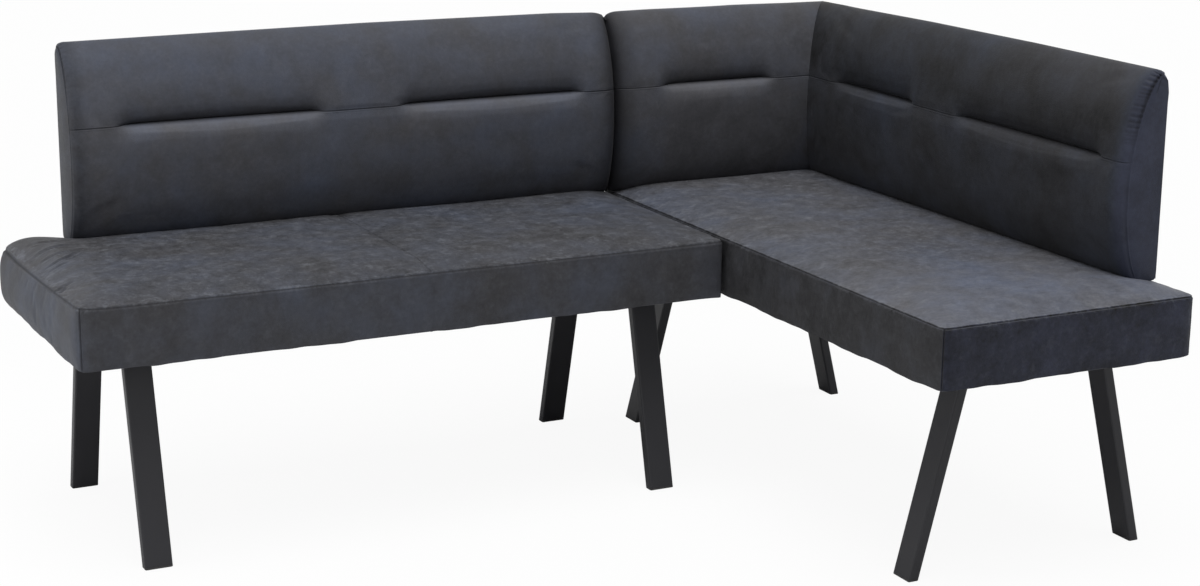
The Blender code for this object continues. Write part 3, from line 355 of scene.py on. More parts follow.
def leather_look():
    """Vintage imitation leather: cloudy slate blue and grey-brown, with a fine grain and a soft sheen. Each
    piece says how light (tone, painted light and shade), blue (tint) and worn it is, the wear also carrying a
    painted highlight along seat edges, and where it has a seam or a fold, both drawn darker as painted shade."""
    hide = Finish("leather_look_fabric", specular_ior_level=0.2, sheen_weight=0.04, sheen_roughness=0.4)
    where = hide.place()
    tone, tint, seam, wear_and_highlight, fold = (hide.node("Attribute", {"attribute_name": name}, {}, "Fac")
                                      for name in ("tone", "tint", "seam", "wear_and_highlight", "fold"))
    drift = hide.noise(where, 3.1, 3.0, 0.55, 0.4)
    cloud = hide.noise(where, 11.0, 5.0, 0.6, 0.3)
    mottle = hide.noise(where, 34.0, 6.0, 0.68, 0.2)
    fleck = hide.noise(where, 130.0, 5.0, 0.7)
    rub = hide.noise(hide.place((1.0, 1.3, 1.0)), 58.0, 7.0, 0.72, 0.8)
    grain = hide.node("TexVoronoi", {"feature": "SMOOTH_F1"},
                      {"Vector": where, "Scale": 620.0, "Smoothness": 0.6})
    pore = hide.noise(where, 1500.0, 3.0, 0.6)
    blue = hide.spread(drift * 0.6 + cloud * 0.4 + (tint - 0.5) * 0.3, 0.38, 0.62)
    colour = hide.mix(blue, shade(82, 82, 86), shade(75, 80, 93))
    colour = hide.mix(hide.spread(tint, 1.0, 1.6, 0.0, 0.6), colour, shade(68, 72, 101))
    # tone paints in each panel's light and shade
    lightness = (0.98 + (tone - 0.5) * 1.6 + (cloud - 0.5) * (0.65 + wear_and_highlight * 0.2)
                 + (mottle - 0.5) * (0.25 + wear_and_highlight * 1.3) + (fleck - 0.5) * (0.25 + wear_and_highlight * 1.1)
                 + (drift - 0.5) * 0.45)
    grey = hide.node("CombineColor", {}, {0: lightness, 1: lightness, 2: lightness})
    colour = hide.mix(1.0, colour, grey, "MULTIPLY")
    # pale worn patches, which along the seat tops' edges are a painted highlight
    worn = hide.spread(rub + (mottle - 0.5) * 0.5, 0.52, 0.70, 0.0, 0.55) * wear_and_highlight
    colour = hide.mix(worn, colour, shade(118, 121, 127))
    # painted shadow in the backrests' folds and puckers and over the joint between the modules
    colour = hide.mix(fold * 0.78, colour, shade(18, 18, 22))
    # painted shade along the seams' grooves
    colour = hide.mix(seam * 0.72, colour, shade(22, 22, 26))
    rough = hide.spread(mottle, 0.3, 0.7, 0.54, 0.7) + worn * 0.15 + seam * 0.1
    height = grain * 0.5 + pore * 0.35 + mottle * 0.8 + fleck * 0.35
    return hide.ready(colour, rough, height, 0.0005)


hide = leather_look()


def alone(piece):
    """Makes a piece the only one selected, and the active one."""
    bpy.ops.object.select_all(action="DESELECT")
    piece.select_set(True)
    bpy.context.view_layer.objects.active = piece


def points_of(piece):
    places = np.empty(len(piece.data.vertices) * 3)
    piece.data.vertices.foreach_get("co", places)
    return places.reshape(-1, 3)


def put_points(piece, places):
    piece.data.vertices.foreach_set("co", np.ascontiguousarray(places).ravel())
    piece.data.update()


def mesh_lines(low, high, count, seams, pull, reach, closer=()):
    """Where the mesh lines of one direction run: one on each seam, and close together within reach of the seams
    and at the spots named in closer, as (spot, width, how much closer)."""
    fine = np.linspace(low, high, 4001)
    density = 1 + pull * sum(np.exp(-((fine - seam) / reach) ** 2) for seam in seams)
    density += sum(more * np.exp(-((fine - spot) / wide) ** 2) for spot, wide, more in closer)
    run = np.concatenate(([0], np.cumsum((density[1:] + density[:-1]) / 2)))
    lines = np.interp(np.linspace(0, run[-1], count + 1), run, fine)
    for seam in seams:
        lines[np.abs(lines - seam).argmin()] = seam
    return lines


def split_edges(piece, axis, parts):
    """Cuts every edge that runs along one axis into equal parts, as a loop cut does."""
    for share in parts:
        bpy.ops.object.mode_set(mode="EDIT")
        bpy.ops.mesh.select_mode(type="EDGE")
        bpy.ops.mesh.select_all(action="DESELECT")
        shape = bmesh.from_edit_mesh(piece.data)
        for edge in shape.edges:
            run = edge.verts[1].co - edge.verts[0].co
            edge.select_set(abs(run[axis]) > 0.9 * run.length)
        shape.select_flush_mode()
        bmesh.update_edit_mesh(piece.data)
        bpy.ops.mesh.subdivide(number_cuts=share - 1)
        bpy.ops.object.mode_set(mode="OBJECT")


def smooth_step(share):
    share = np.clip(share, 0, 1)
    return share * share * (3 - 2 * share)


SETTLED = 20            # steps after which the blown-up cloth has come to rest


def puff(piece, held, cap, swell, slack=0.0):
    """Blows the cover up round its foam as cloth: held points stay, and no point moves further than cap."""
    alone(piece)
    group = piece.vertex_groups.new(name="held")
    group.add([int(i) for i in np.flatnonzero(held)], 1.0, "REPLACE")
    before = points_of(piece)
    cloth = piece.modifiers.new("cover", "CLOTH")
    cloth.settings.vertex_group_mass = "held"
    cloth.settings.use_pressure = True
    cloth.settings.uniform_pressure_force = swell
    cloth.settings.shrink_min = -slack
    cloth.settings.quality = 4
    cloth.settings.mass = 0.3
    cloth.settings.tension_stiffness = cloth.settings.compression_stiffness = 15
    cloth.settings.bending_stiffness = 1.5
    cloth.settings.effector_weights.gravity = 0
    cloth.collision_settings.use_collision = False
    for step in range(1, SETTLED + 1):
        bpy.context.scene.frame_set(step)
    bpy.ops.object.modifier_apply(modifier="cover")
    bpy.context.scene.frame_set(1)
    piece.vertex_groups.clear()
    move = points_of(piece) - before
    far = np.linalg.norm(move, axis=1, keepdims=True)
    put_points(piece, before + move * np.minimum(1, cap / np.maximum(far, 1e-9)))


def refine(piece):
    alone(piece)
    finer = piece.modifiers.new("finer", "SUBSURF")
    finer.levels = finer.render_levels = 1
    bpy.ops.object.modifier_apply(modifier="finer")
    bpy.ops.object.shade_smooth()


def close_openings(piece):
    """Closes a cover's open ends with one face each, and leaves these selected in edit mode."""
    alone(piece)
    bpy.ops.object.mode_set(mode="EDIT")
    bpy.ops.mesh.select_mode(type="EDGE")
    bpy.ops.mesh.select_all(action="DESELECT")
    bpy.ops.mesh.select_non_manifold(extend=False, use_wire=False, use_multi_face=False,
                                     use_non_contiguous=False, use_verts=False)
    bpy.ops.mesh.edge_face_add()
    bpy.ops.mesh.select_mode(type="FACE")
    bpy.ops.mesh.select_all(action="DESELECT")
    skin = bmesh.from_edit_mesh(piece.data)
    for face in skin.faces:
        face.select_set(len(face.verts) > 20)       # no other face has so many corners
    bmesh.update_edit_mesh(piece.data)


def press(places, stroke, depth, width, above):
    """Presses a crease down into a level panel: along a stroke in plan, fading out at both of its ends."""
    stroke = np.array(stroke, float)
    runs = np.linalg.norm(np.diff(stroke, axis=0), axis=1)
    fine = np.linspace(0, runs.sum(), max(8, int(runs.sum() / 0.003)))
    marks = np.concatenate(([0], np.cumsum(runs)))
    line = np.stack([np.interp(fine, marks, stroke[:, k]) for k in range(2)], axis=1)
    plan = places[:, :2]
    near = np.flatnonzero(np.all((plan > line.min(0) - 3 * width) & (plan < line.max(0) + 3 * width), axis=1)
                          & (places[:, 2] > above))
    gap = np.linalg.norm(plan[near, None] - line[None], axis=2)
    fade = np.sin(np.pi * np.clip(fine[gap.argmin(1)] / fine[-1], 0.02, 0.98)) ** 0.5
    off = gap.min(1) / width
    rim = 0.45 * np.exp(-((off - 1.7) / 0.6) ** 2)
    places[near, 2] -= (np.exp(-off ** 2) - rim) * fade * depth


def mark(piece, name, amounts, domain="POINT"):
    """Writes one number for each point or face, for the material to read."""
    layer = piece.data.attributes.get(name) or piece.data.attributes.new(name, "FLOAT", domain)
    layer.data.foreach_set("value", np.ascontiguousarray(amounts, dtype=np.float32))


def read_mark(piece, name):
    layer = piece.data.attributes[name]
    amounts = np.empty(len(layer.data), dtype=np.float32)
    layer.data.foreach_get("value", amounts)
    return amounts.astype(float)


def outward_of(piece):
    ways = np.empty(len(piece.data.vertices) * 3)
    piece.data.vertex_normals.foreach_get("vector", ways)
    return ways.reshape(-1, 3)


def plan_seams(piece, on_seam):
    """Marks the points that lie on a seam, and those next to it, before the mesh is refined."""
    beside = np.zeros(len(on_seam), bool)
    ends = np.empty(len(piece.data.edges) * 2, dtype=np.int64)
    piece.data.edges.foreach_get("vertices", ends)
    for a, b in (ends.reshape(-1, 2).T, ends.reshape(-1, 2).T[::-1]):
        beside[b[(on_seam[a] > 0) & (on_seam[b] == 0)]] = True
    mark(piece, "seam", on_seam)
    mark(piece, "beside", beside)


def sew(piece, depth):
    """Draws the cover into its seams, with the cloth standing up a little beside them."""
    on_seam, beside = read_mark(piece, "seam"), read_mark(piece, "beside")
    put_points(piece, points_of(piece) - outward_of(piece) * (depth * on_seam - 0.4 * depth * beside)[:, None])
    piece.data.attributes.remove(piece.data.attributes["beside"])


def fill_free_end(places, low, rear_share, by_side, inner):
    """Fills out the long seat's left end, where the backrest stops short."""
    SEAM_DIP = ((0, 0.25, 0.5, 0.8, 0.95, 1), (0.004, -0.002, -0.006, -0.009, -0.007, -0.004))
    PUFFED, PUFF_REACH, PUFF_HEIGHT = (-0.835, 0.55), (0.055, 0.075), 0.007
    SWELLING, REAR_ROUNDING = 0.010, 0.006
    by_end = np.exp(-((places[:, 0] - low) / 0.028) ** 2)
    up_share = np.clip((places[:, 2] - SEAT_BOTTOM) / (SEAT_SEAM - SEAT_BOTTOM), 0, 1)
    # the seam runs lower towards the rear, where the top panel rolls over the edge
    places[:, 2] += np.interp(rear_share, *SEAM_DIP) * by_end * smooth_step(up_share)
    # the top panel is puffed up beside the backrest, and the end band swells out
    far = sum(((places[:, k] - PUFFED[k]) / PUFF_REACH[k]) ** 2 for k in range(2))
    places[:, 2] += np.where(inner, PUFF_HEIGHT * np.exp(-far), 0)
    places[:, 0] -= SWELLING * smooth_step(rear_share / 0.9) * by_end * (1 - (2 * up_share - 1) ** 4)
    # its rear corner is the rounder one
    places[:, 0] += REAR_ROUNDING * np.exp(-(by_side / 0.012) ** 2) * (rear_share > 0.5) * by_end


# Creases that draw the long seat's top panel towards its free end: stroke in plan, depth and width.
CREASES = (
    (((-0.857, 0.520), (-0.820, 0.512), (-0.780, 0.514)), 0.0022, 0.0050),
    (((-0.862, 0.458), (-0.812, 0.476), (-0.772, 0.478)), 0.0036, 0.0048),
    (((-0.858, 0.418), (-0.812, 0.433), (-0.780, 0.446)), 0.0034, 0.0044),
    (((-0.862, 0.374), (-0.824, 0.389), (-0.796, 0.420)), 0.0030, 0.0042),
    (((-0.864, 0.350), (-0.845, 0.356), (-0.822, 0.360)), 0.0020, 0.0038),
    (((-0.884, 0.232), (-0.866, 0.243), (-0.850, 0.247)), 0.0034, 0.0042),
    (((-0.880, 0.214), (-0.868, 0.228), (-0.858, 0.238)), 0.0026, 0.0036),
)


def upholster_seat(module, low, high, parts, cross, panels, worn):
    """Makes one seat cushion, from a box to the sewn cover with its hem turned in."""
    CORNER, CROWN_RUN, BULGE, WAVE = 0.015, 0.085, 0.0025, 0.0022
    HAIR = 1e-6             # what is nearer than this lies on the spot
    free_end = module == "long"
    low3, high3 = np.array(low + (SEAT_BOTTOM,)), np.array(high + (SEAT_SEAM,))
    size, middle = high3 - low3, (low3 + high3) / 2
    bpy.ops.object.select_all(action="DESELECT")
    bpy.ops.mesh.primitive_cube_add(size=1, location=middle, scale=size)
    seat = bpy.context.object
    seat.name = module + "_seat_cushion"
    bpy.ops.object.transform_apply(location=True, rotation=True, scale=True)
    for axis in range(3):
        split_edges(seat, axis, parts[axis])
    places = points_of(seat)
    # the mesh lines lie closer together along the seams, and where the free end is creased
    seams = [[low3[k], high3[k]] for k in range(3)]
    if cross is not None:
        seams[0].append(cross)
    nearer = ((2.2, 0.018), (2.2, 0.018), (1.5, 0.012))
    creased = (((-0.80, 0.06, 3.0),), ((0.42, 0.14, 1.6),), ()) if free_end else ((), (), ())
    for k in range(3):
        count = int(np.prod(parts[k]))
        lines = mesh_lines(low3[k], high3[k], count, seams[k], *nearer[k], closer=creased[k])
        places[:, k] = lines[np.rint((places[:, k] - low3[k]) / size[k] * count).astype(int)]
    top = places[:, 2] > SEAT_SEAM - HAIR
    bottom = places[:, 2] < SEAT_BOTTOM + HAIR
    edge = np.minimum(places[:, :2] - low3[:2], high3[:2] - places[:, :2])
    inward = edge.min(1)
    outer = inward < HAIR
    at_corner = (edge < HAIR).sum(1) == 2
    on_cross = np.zeros(len(places), bool) if cross is None else np.abs(places[:, 0] - cross) < HAIR
    held = bottom | (outer & top) | (at_corner & ~top) | (on_cross & top)
    # the top panel is crowned, rolls over the free end, and is drawn in a little by the seam across it
    rear_share = np.clip((places[:, 1] - low3[1]) / size[1], 0, 1)
    roll = 1
    if free_end:
        on_left = places[:, 0] < middle[0]
        roll = 1 + 1.6 * smooth_step(rear_share / 0.7) * np.exp(-(edge[:, 0] / 0.05) ** 2) * on_left
    rise = (SEAT_TOP - SEAT_SEAM) * np.sin(np.pi / 2 * np.clip(inward * roll / CROWN_RUN, 0, 1))
    if cross is not None:
        rise -= 0.0012 * np.exp(-(np.abs(places[:, 0] - cross) / 0.012) ** 1.5) * smooth_step(inward / 0.05)
    places[:, 2] += np.where(top, rise, 0)
    # the side bands stand out a little between their seams
    up_band = np.sin(np.pi * np.clip((places[:, 2] - SEAT_BOTTOM) / (SEAT_SEAM - SEAT_BOTTOM), 0, 1))
    for k in range(2):
        stand = BULGE * up_band * smooth_step(edge[:, 1 - k] / 0.05)
        places[:, k] -= np.where((places[:, k] < low3[k] + HAIR) & ~top, stand, 0)
        places[:, k] += np.where((places[:, k] > high3[k] - HAIR) & ~top, stand, 0)
    if free_end:
        fill_free_end(places, low3[0], rear_share, edge[:, 1], top & ~outer)
    # the corners are rounded in plan
    over = np.abs(places[:, :2] - middle[:2]) - (size[:2] / 2 - CORNER)
    round_it = (over > 0).all(1)
    reach = over[round_it].max(1) / np.linalg.norm(over[round_it], axis=1)
    away = np.sign(places[round_it, :2] - middle[:2])
    places[round_it, :2] = middle[:2] + away * (size[:2] / 2 - CORNER + over[round_it] * reach[:, None])
    put_points(seat, places)
    plan_seams(seat, np.where(on_cross & ~outer, 0.4, held & ~bottom))
    puff(seat, held, cap=0.004, swell=3.5, slack=0.002)
    # the rolled lower edge is pulled in unevenly by its staples
    places = points_of(seat)
    x, y, _ = places.T
    swing = np.sin(x * 23 + y * 31) + 0.7 * np.sin(x * 57 - y * 41 + 1) + 0.4 * np.sin(x * 131 + y * 113)
    low_band = np.exp(-((places[:, 2] - SEAT_BOTTOM) / 0.012) ** 2)
    places[:, 2] += WAVE * (0.6 + swing / 2.1) * low_band
    put_points(seat, places)
    # the bottom is opened, to turn the hem in there
    alone(seat)
    bpy.ops.object.mode_set(mode="EDIT")
    bpy.ops.mesh.select_mode(type="FACE")
    bpy.ops.mesh.select_all(action="DESELECT")
    shape = bmesh.from_edit_mesh(seat.data)
    for face in shape.faces:
        face.select_set(face.normal.z < -0.7 and face.calc_center_median().z < SEAT_BOTTOM + 0.006)
    bmesh.update_edit_mesh(seat.data)
    bpy.ops.mesh.delete(type="FACE")
    bpy.ops.object.mode_set(mode="OBJECT")
    refine(seat)
    close_openings(seat)
    # (width lost on each side, height): under the rails, over the hem, out to the rails and up to the webbing
    HEM, FRAME_ROOM = 0.03, 0.0098
    ring = size[:2]
    for lost, height in ((0.004, 0.0004), (HEM, 0.0004), (HEM, 0.0014), (FRAME_ROOM, 0.0014),
                         (FRAME_ROOM, 0.0692)):
        bpy.ops.mesh.extrude_region_move()
        narrower = (size[:2] - 2 * lost) / ring
        bpy.ops.transform.resize(value=(*narrower, 0), center_override=(*middle[:2], SEAT_BOTTOM + height))
        ring = size[:2] - 2 * lost
    bpy.ops.object.mode_set(mode="OBJECT")
    if free_end:
        places = points_of(seat)
        for stroke, depth, width in CREASES:
            press(places, stroke, depth, width, SEAT_SEAM - 0.012)
        put_points(seat, places)
    sew(seat, depth=0.0016)
    facing, centres = (np.empty(len(seat.data.polygons) * 3) for _ in range(2))
    seat.data.polygons.foreach_get("normal", facing)
    seat.data.polygons.foreach_get("center", centres)
    facing, centres = facing.reshape(-1, 3), centres.reshape(-1, 3)
    # painted light and shade: each panel's lightness goes by which way it faces
    for word, (upper, left, near, other) in zip(("tone", "tint"), panels):
        if module == "corner" and word == "tone":
            # painted light: the corner seat's top is drawn paler towards its free end
            upper = upper + 0.26 * smooth_step((-0.15 - centres[:, 1]) / 0.4)       # paler towards its free end
        side = np.where(facing[:, 0] < -0.7, left, np.where(facing[:, 1] < -0.7, near, other))
        mark(seat, word, np.where(facing[:, 2] > 0.8, upper, side), "FACE")
    # the top is worn by sitting, and along its edges it is drawn paler still, as a painted highlight
    places = points_of(seat)
    edge = np.minimum(places[:, :2] - low3[:2], high3[:2] - places[:, :2]).min(1)
    above = smooth_step((places[:, 2] - SEAT_SEAM + 0.006) / 0.006)
    mark(seat, "wear_and_highlight", 0.12 + above * (worn + 0.6 * np.exp(-((edge - 0.006) / 0.007) ** 2)))
    seat.data.materials.clear()
    seat.data.materials.append(hide)
    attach(seat, "root")
    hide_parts(module + "_seat_cover", module + "_seat_foam")


for module, facts in SEATS.items():
    upholster_seat(module, **facts)


# --- Dust covers --------------------------------------------------------------------------------------------
# Thin black non-woven cloth closes the underside of each seat. It is cut to size, stretched and stapled under
# the rails, and the leg plates are screwed on over it.
def spun_cloth():
    spun = Finish("dust_cloth", specular_ior_level=0.15)
    where = spun.place()
    fibre = spun.noise(where, 420.0, 4.0, 0.7, 1.5)
    dots = spun.node("TexVoronoi", {}, {"Vector": where, "Scale": 330.0, "Randomness": 0.15})
    colour = spun.mix(fibre, shade(24, 24, 25), shade(44, 44, 45))
    return spun.ready(colour, spun.spread(fibre, 0.3, 0.7, 0.8, 0.95), dots + fibre * 0.6, 0.0002)


spun = spun_cloth()


def flat_cloth(name, low, high, across, up, step, thickness, relief):
    """A rectangle of cloth in one plane, with a little relief, given a thickness."""
    low, high = np.array(low), np.array(high)
    span = high - low
    bpy.ops.object.select_all(action="DESELECT")
    bpy.ops.mesh.primitive_grid_add(x_subdivisions=int(span[across] / step),
                                    y_subdivisions=int(span[up] / step), size=2)
    cloth = bpy.context.object
    cloth.name = name
    grid = points_of(cloth)
    places = np.zeros_like(grid)
    places[:, across] = low[across] + span[across] * (grid[:, 0] + 1) / 2
    places[:, up] = low[up] + span[up] * (grid[:, 1] + 1) / 2
    flat = 3 - across - up
    places[:, flat] = low[flat]
    put_points(cloth, places + relief(places))
    alone(cloth)
    wall = cloth.modifiers.new("wall", "SOLIDIFY")
    wall.thickness, wall.offset = thickness, 0
    bpy.ops.object.modifier_apply(modifier="wall")
    return cloth


for module in SEATS:
    low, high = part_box(module + "_dust_cover")

    def sag(places):
        edge = np.minimum(places - np.array(low), np.array(high) - places)[:, :2].min(1)
        move = np.zeros_like(places)
        slack = smooth_step(edge / 0.03)
        move[:, 2] = -0.0004 * np.sin(places[:, 0] * 90) * np.sin(places[:, 1] * 80) * slack
        return move

    lifted = (low.x, low.y, low.z + 0.0005)
    cloth = flat_cloth(module + "_dust_cloth", lifted, high, across=0, up=1, step=0.02, thickness=0.0005,
                       relief=sag)
    cloth.data.materials.append(spun)
    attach(cloth, "root")
    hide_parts(module + "_dust_cover")


# --- Backrests ----------------------------------------------------------------------------------------------
# A board with foam in front of it, in a sewn cover. The cover is stitched through to the board in a line a
# hand's width below the top, and drawn in hard there in long soft folds. The modules' two covers meet at a
# rounded joint, and the two covers of the corner are mitred into each other.
REST_BOTTOM, REST_HEIGHT = 0.4893, 0.3687
STITCH_HEIGHT = 0.706 - REST_BOTTOM
REAR_Y, REAR_X = 0.60925, 0.88025
REAR_SEAM = 0.010       # how far before the rear face the top seam runs, round the crest


def bezier(p0, p1, p2, p3, count):
    t = np.linspace(0, 1, count)[:, None]
    p0, p1, p2, p3 = (np.array(p) for p in (p0, p1, p2, p3))
    return (1 - t) ** 3 * p0 + 3 * (1 - t) ** 2 * t * p1 + 3 * (1 - t) * t ** 2 * p2 + t ** 3 * p3


def backrest_outline():
    """Points (depth from the rear, height) round the cross-section, how far along the cover those of its front
    are, and how far along it the stitch line is."""
    foot, belly = (0.045, 0.0), (0.0955, 0.155)
    crest, rear = (0.018, REST_HEIGHT), (0.0, REST_HEIGHT - 0.012)
    full = belly[1] + (REST_HEIGHT - belly[1]) * 0.56
    lower = bezier(foot, (0.0753, 0.0), (belly[0], 0.0713), belly, 400)
    upper = bezier(belly, (belly[0], full), (crest[0] + (belly[0] - crest[0]) * 0.44, REST_HEIGHT), crest, 600)
    back = bezier(crest, (0.009, REST_HEIGHT), (0, REST_HEIGHT - 0.006), rear, 60)
    front = np.concatenate((lower, upper[1:], back[1:]))
    run = np.concatenate(([0], np.cumsum(np.linalg.norm(np.diff(front, axis=0), axis=1))))
    stitch = np.interp(STITCH_HEIGHT, front[:600, 1], run[:600])
    rows = mesh_lines(0, run[-1], 104, [stitch, run[-1] - REAR_SEAM], pull=2.6, reach=0.03)
    shape = np.stack([np.interp(rows, run, front[:, k]) for k in range(2)], axis=1)
    down = np.linspace(rear[1], 0, 19)[1:]
    underside = np.linspace(0, foot[0], 6)[1:]
    shape = np.concatenate((shape, np.stack([np.zeros_like(down), down], axis=1),
                            np.stack([underside, np.zeros_like(underside)], axis=1)))
    return shape, rows, stitch


OUTLINE, FRONT_ROWS, STITCH = backrest_outline()
FRONT_END = FRONT_ROWS[-1]      # how far along the cover the rear face begins
# Across a fold: how far from the stitch line along the cover, how deep and how far up or down the cloth goes,
# how dark the fold's painted shadow is, and how pale its lower lip is drawn as a painted highlight.
FOLD_RUN = np.array((-0.075, -0.030, -0.014, -0.007, -0.0045, -0.0025, 0.0, 0.002, 0.0045, 0.008, 0.013, 0.020,
                     0.032, 0.050, 0.075))
FOLD_DEPTH = np.array((0.0, 0.09, 0.03, -0.12, -0.26, -0.52, -1.0, -0.86, -0.64, -0.49, -0.37, -0.28,
                       -0.15, -0.06, 0))
FOLD_DROP = np.array((0.0, 0.02, 0.07, 0.10, 0.10, 0.12, 0.12, 0.0, -0.12, -0.18, -0.18, -0.13,
                      -0.06, -0.02, 0.0))
FOLD_DARK = np.array((0, 0, 0, 0, 0.05, 0.6, 1.0, 1.0, 1.0, 1.0, 0.85, 0.50, 0.20, 0.06, 0.0))
FOLD_LIP = np.array((0, 0.40, 0.85, 1.0, 1.0, 0.5, 0, 0, 0, 0, 0, 0, 0, 0, 0))
FULL_FOLD = 0.026       # how deep a fold is where it is deepest
CAP_RINGS = (0.03, 0.10, 0.24, 0.45, 0.70, 0.96)     # how far in from the seam to the middle of an end panel
SEAMED_END = 0.024      # an end with a smaller radius than this has a seam round its panel
SPOT = 1e-5             # what is nearer than this lies on the spot


def each_end(ends, along, length):
    """The radius of each end, the share of it by which the top comes down, and how far away the end is."""
    return (*ends[0], along), (*ends[1], length - along)


def backrest(name, length, columns, folds, ends, joined, crest, to_world, nodes, tones):
    """Makes one backrest cushion. folds are the (start, stop) of each fold. ends are each end's radius and the
    share of it by which the top comes down, and joined says which end is mitred. crest is how much higher or
    lower the top runs, as (along, lift). tones are the (upper, lower, end panel) lightness, which paints in
    light and shade, and then their blueness."""
    rows = len(OUTLINE) - 1
    rings = [0 if mitred else len(CAP_RINGS) for mitred in joined]
    across = columns + sum(rings)
    bpy.ops.object.select_all(action="DESELECT")
    bpy.ops.mesh.primitive_grid_add(x_subdivisions=across, y_subdivisions=rows, size=2)
    rest = bpy.context.object
    rest.name = name
    grid = (points_of(rest) + 1) / 2
    place = np.rint(grid[:, 0] * across).astype(int) - rings[0]
    column = np.clip(place, 0, columns)
    cap = np.array((0,) + CAP_RINGS)[np.abs(place - column)]
    row = np.rint(grid[:, 1] * rows).astype(int)
    along = mesh_lines(0, length, columns, [0, length], pull=3.0, reach=0.025)[column]
    behind = FRONT_END + 0.3 + np.arange(rows + 1 - len(FRONT_ROWS)) * 0.01
    around = np.concatenate((FRONT_ROWS, behind))[row]
    shape = OUTLINE[row]
    way = np.gradient(OUTLINE, axis=0)
    out = np.stack([way[:, 1], -way[:, 0]], axis=1)
    out /= np.maximum(np.linalg.norm(out, axis=1, keepdims=True), 1e-9)
    out[OUTLINE[:, 0] < 1e-4] = (0, 0)
    out[:, 1] = np.maximum(out[:, 1], 0)
    out = out[row]
    # the folds: deepest a little past the middle, and drawn out thin at their ends
    depth = np.zeros(len(along))
    for start, stop in folds:
        share = np.clip((along - start) / (stop - start), 0, 1)
        inside = (along > start) & (along < stop)
        lift = smooth_step((along - start) / 0.05) * smooth_step((stop - along) / 0.035)
        depth += np.where(inside, lift * FULL_FOLD * (0.86 + 0.18 * np.sin(share * 2.6 + 0.3)), 0)
    run = around - STITCH
    front = row < len(FRONT_ROWS)
    for axis, profile in enumerate((FOLD_DEPTH, FOLD_DROP)):
        shape[:, axis] += np.where(front, depth * np.interp(run, FOLD_RUN, profile, 0, 0), 0)
    # the stitch line itself lies in a shallow groove from end to end
    shape[:, 0] -= np.where(front, 0.0012 * np.exp(-(run / 0.003) ** 2) * (depth < 0.001), 0)
    # the top runs a little higher and lower, and the cross-section draws in as it nears a rounded end
    rise = np.interp(along, *zip(*crest))
    shape[:, 1] += rise * np.clip((shape[:, 1] - STITCH_HEIGHT) / (REST_HEIGHT - STITCH_HEIGHT), 0, 1)
    rear = shape[:, 0] < 1e-4
    for radius, down, from_end in each_end(ends, along, length):
        if radius:
            inset = radius - np.sqrt(np.maximum(radius ** 2 - np.maximum(radius - from_end, 0) ** 2, 0))
            shape -= out * inset[:, None] * (1, down)
            shape[:, 1] -= np.where(rear, inset * down * shape[:, 1] / REST_HEIGHT, 0)
    # an end panel closes the cover, from its seam in to the middle, and stands out a little
    level = np.clip(shape[:, 1], 0.03, REST_HEIGHT - 0.02)
    spine = np.interp(level, OUTLINE[:len(FRONT_ROWS), 1], OUTLINE[:len(FRONT_ROWS), 0]) / 2
    shape[:, 0] += cap * (spine - shape[:, 0])
    shape[:, 1] += cap * (level - shape[:, 1])
    along = along + np.sign(place - column) * 0.0025 * (1 - (1 - cap) ** 2)
    # a mitred end slants with the depth
    MITRE_RUN = 0.14
    if joined[0]:
        slant = shape[:, 0] + along * (MITRE_RUN - shape[:, 0]) / MITRE_RUN
        along = np.where(along < MITRE_RUN, slant, along)
    if joined[1]:
        left = length - along
        slant = length - shape[:, 0] - left * (MITRE_RUN - shape[:, 0]) / MITRE_RUN
        along = np.where(left < MITRE_RUN, slant, along)
    put_points(rest, to_world(along, shape[:, 0], REST_BOTTOM + shape[:, 1]))
    mark(rest, "along", along)
    mark(rest, "around", around)
    mark(rest, "cap", cap)
    # the folds' painted shadow, and the painted highlight on their lower lips
    for word, profile in (("fold", FOLD_DARK), ("lip", FOLD_LIP)):
        mark(rest, word, np.where(front, depth / FULL_FOLD * np.interp(run, FOLD_RUN, profile, 0, 0), 0))
    alone(rest)
    bpy.ops.object.mode_set(mode="EDIT")
    bpy.ops.mesh.select_all(action="SELECT")
    bpy.ops.mesh.remove_doubles(threshold=SPOT)
    bpy.ops.mesh.normals_make_consistent(inside=False)
    bpy.ops.object.mode_set(mode="OBJECT")
    # the cloth is held at its seams, at the board and near the mitre, and swells between them
    along, around, cap = (read_mark(rest, word) for word in ("along", "around", "cap"))
    run = around - STITCH
    ended = np.zeros(len(along), bool)
    for radius, _, from_end in each_end(ends, along, length):
        if 0 < radius < SEAMED_END:
            ended |= (from_end < SPOT) & (cap < SPOT) & (around < FRONT_END)
    seamed = (np.abs(run) < SPOT) & (cap < SPOT) | (np.abs(around - FRONT_END + REAR_SEAM) < SPOT) | ended
    held = seamed | (around > FRONT_END - 0.01) | (around < 0.012)
    for mitred, from_end in zip(joined, (along, length - along)):
        held |= from_end < (0.11 if mitred else 0.004)
    # the stitch line is sewn in shallower and drawn with less painted shade than the seams, and so is the end
    # panel's seam low down
    stitched = np.where(np.abs(run) < SPOT, 0.45 if max(joined) else 0.7, seamed)
    panelled = 0.3 + 0.7 * smooth_step((run - 0.03) / 0.1)
    plan_seams(rest, np.where(ended, panelled, np.where(seamed, stitched, 0)))
    puff(rest, held, cap=0.0011, swell=2.0)
    refine(rest)
    close_openings(rest)
    bpy.ops.mesh.select_all(action="SELECT")
    bpy.ops.mesh.normals_make_consistent(inside=False)
    bpy.ops.object.mode_set(mode="OBJECT")
    finish_backrest(rest, length, ends, joined, nodes, tones)


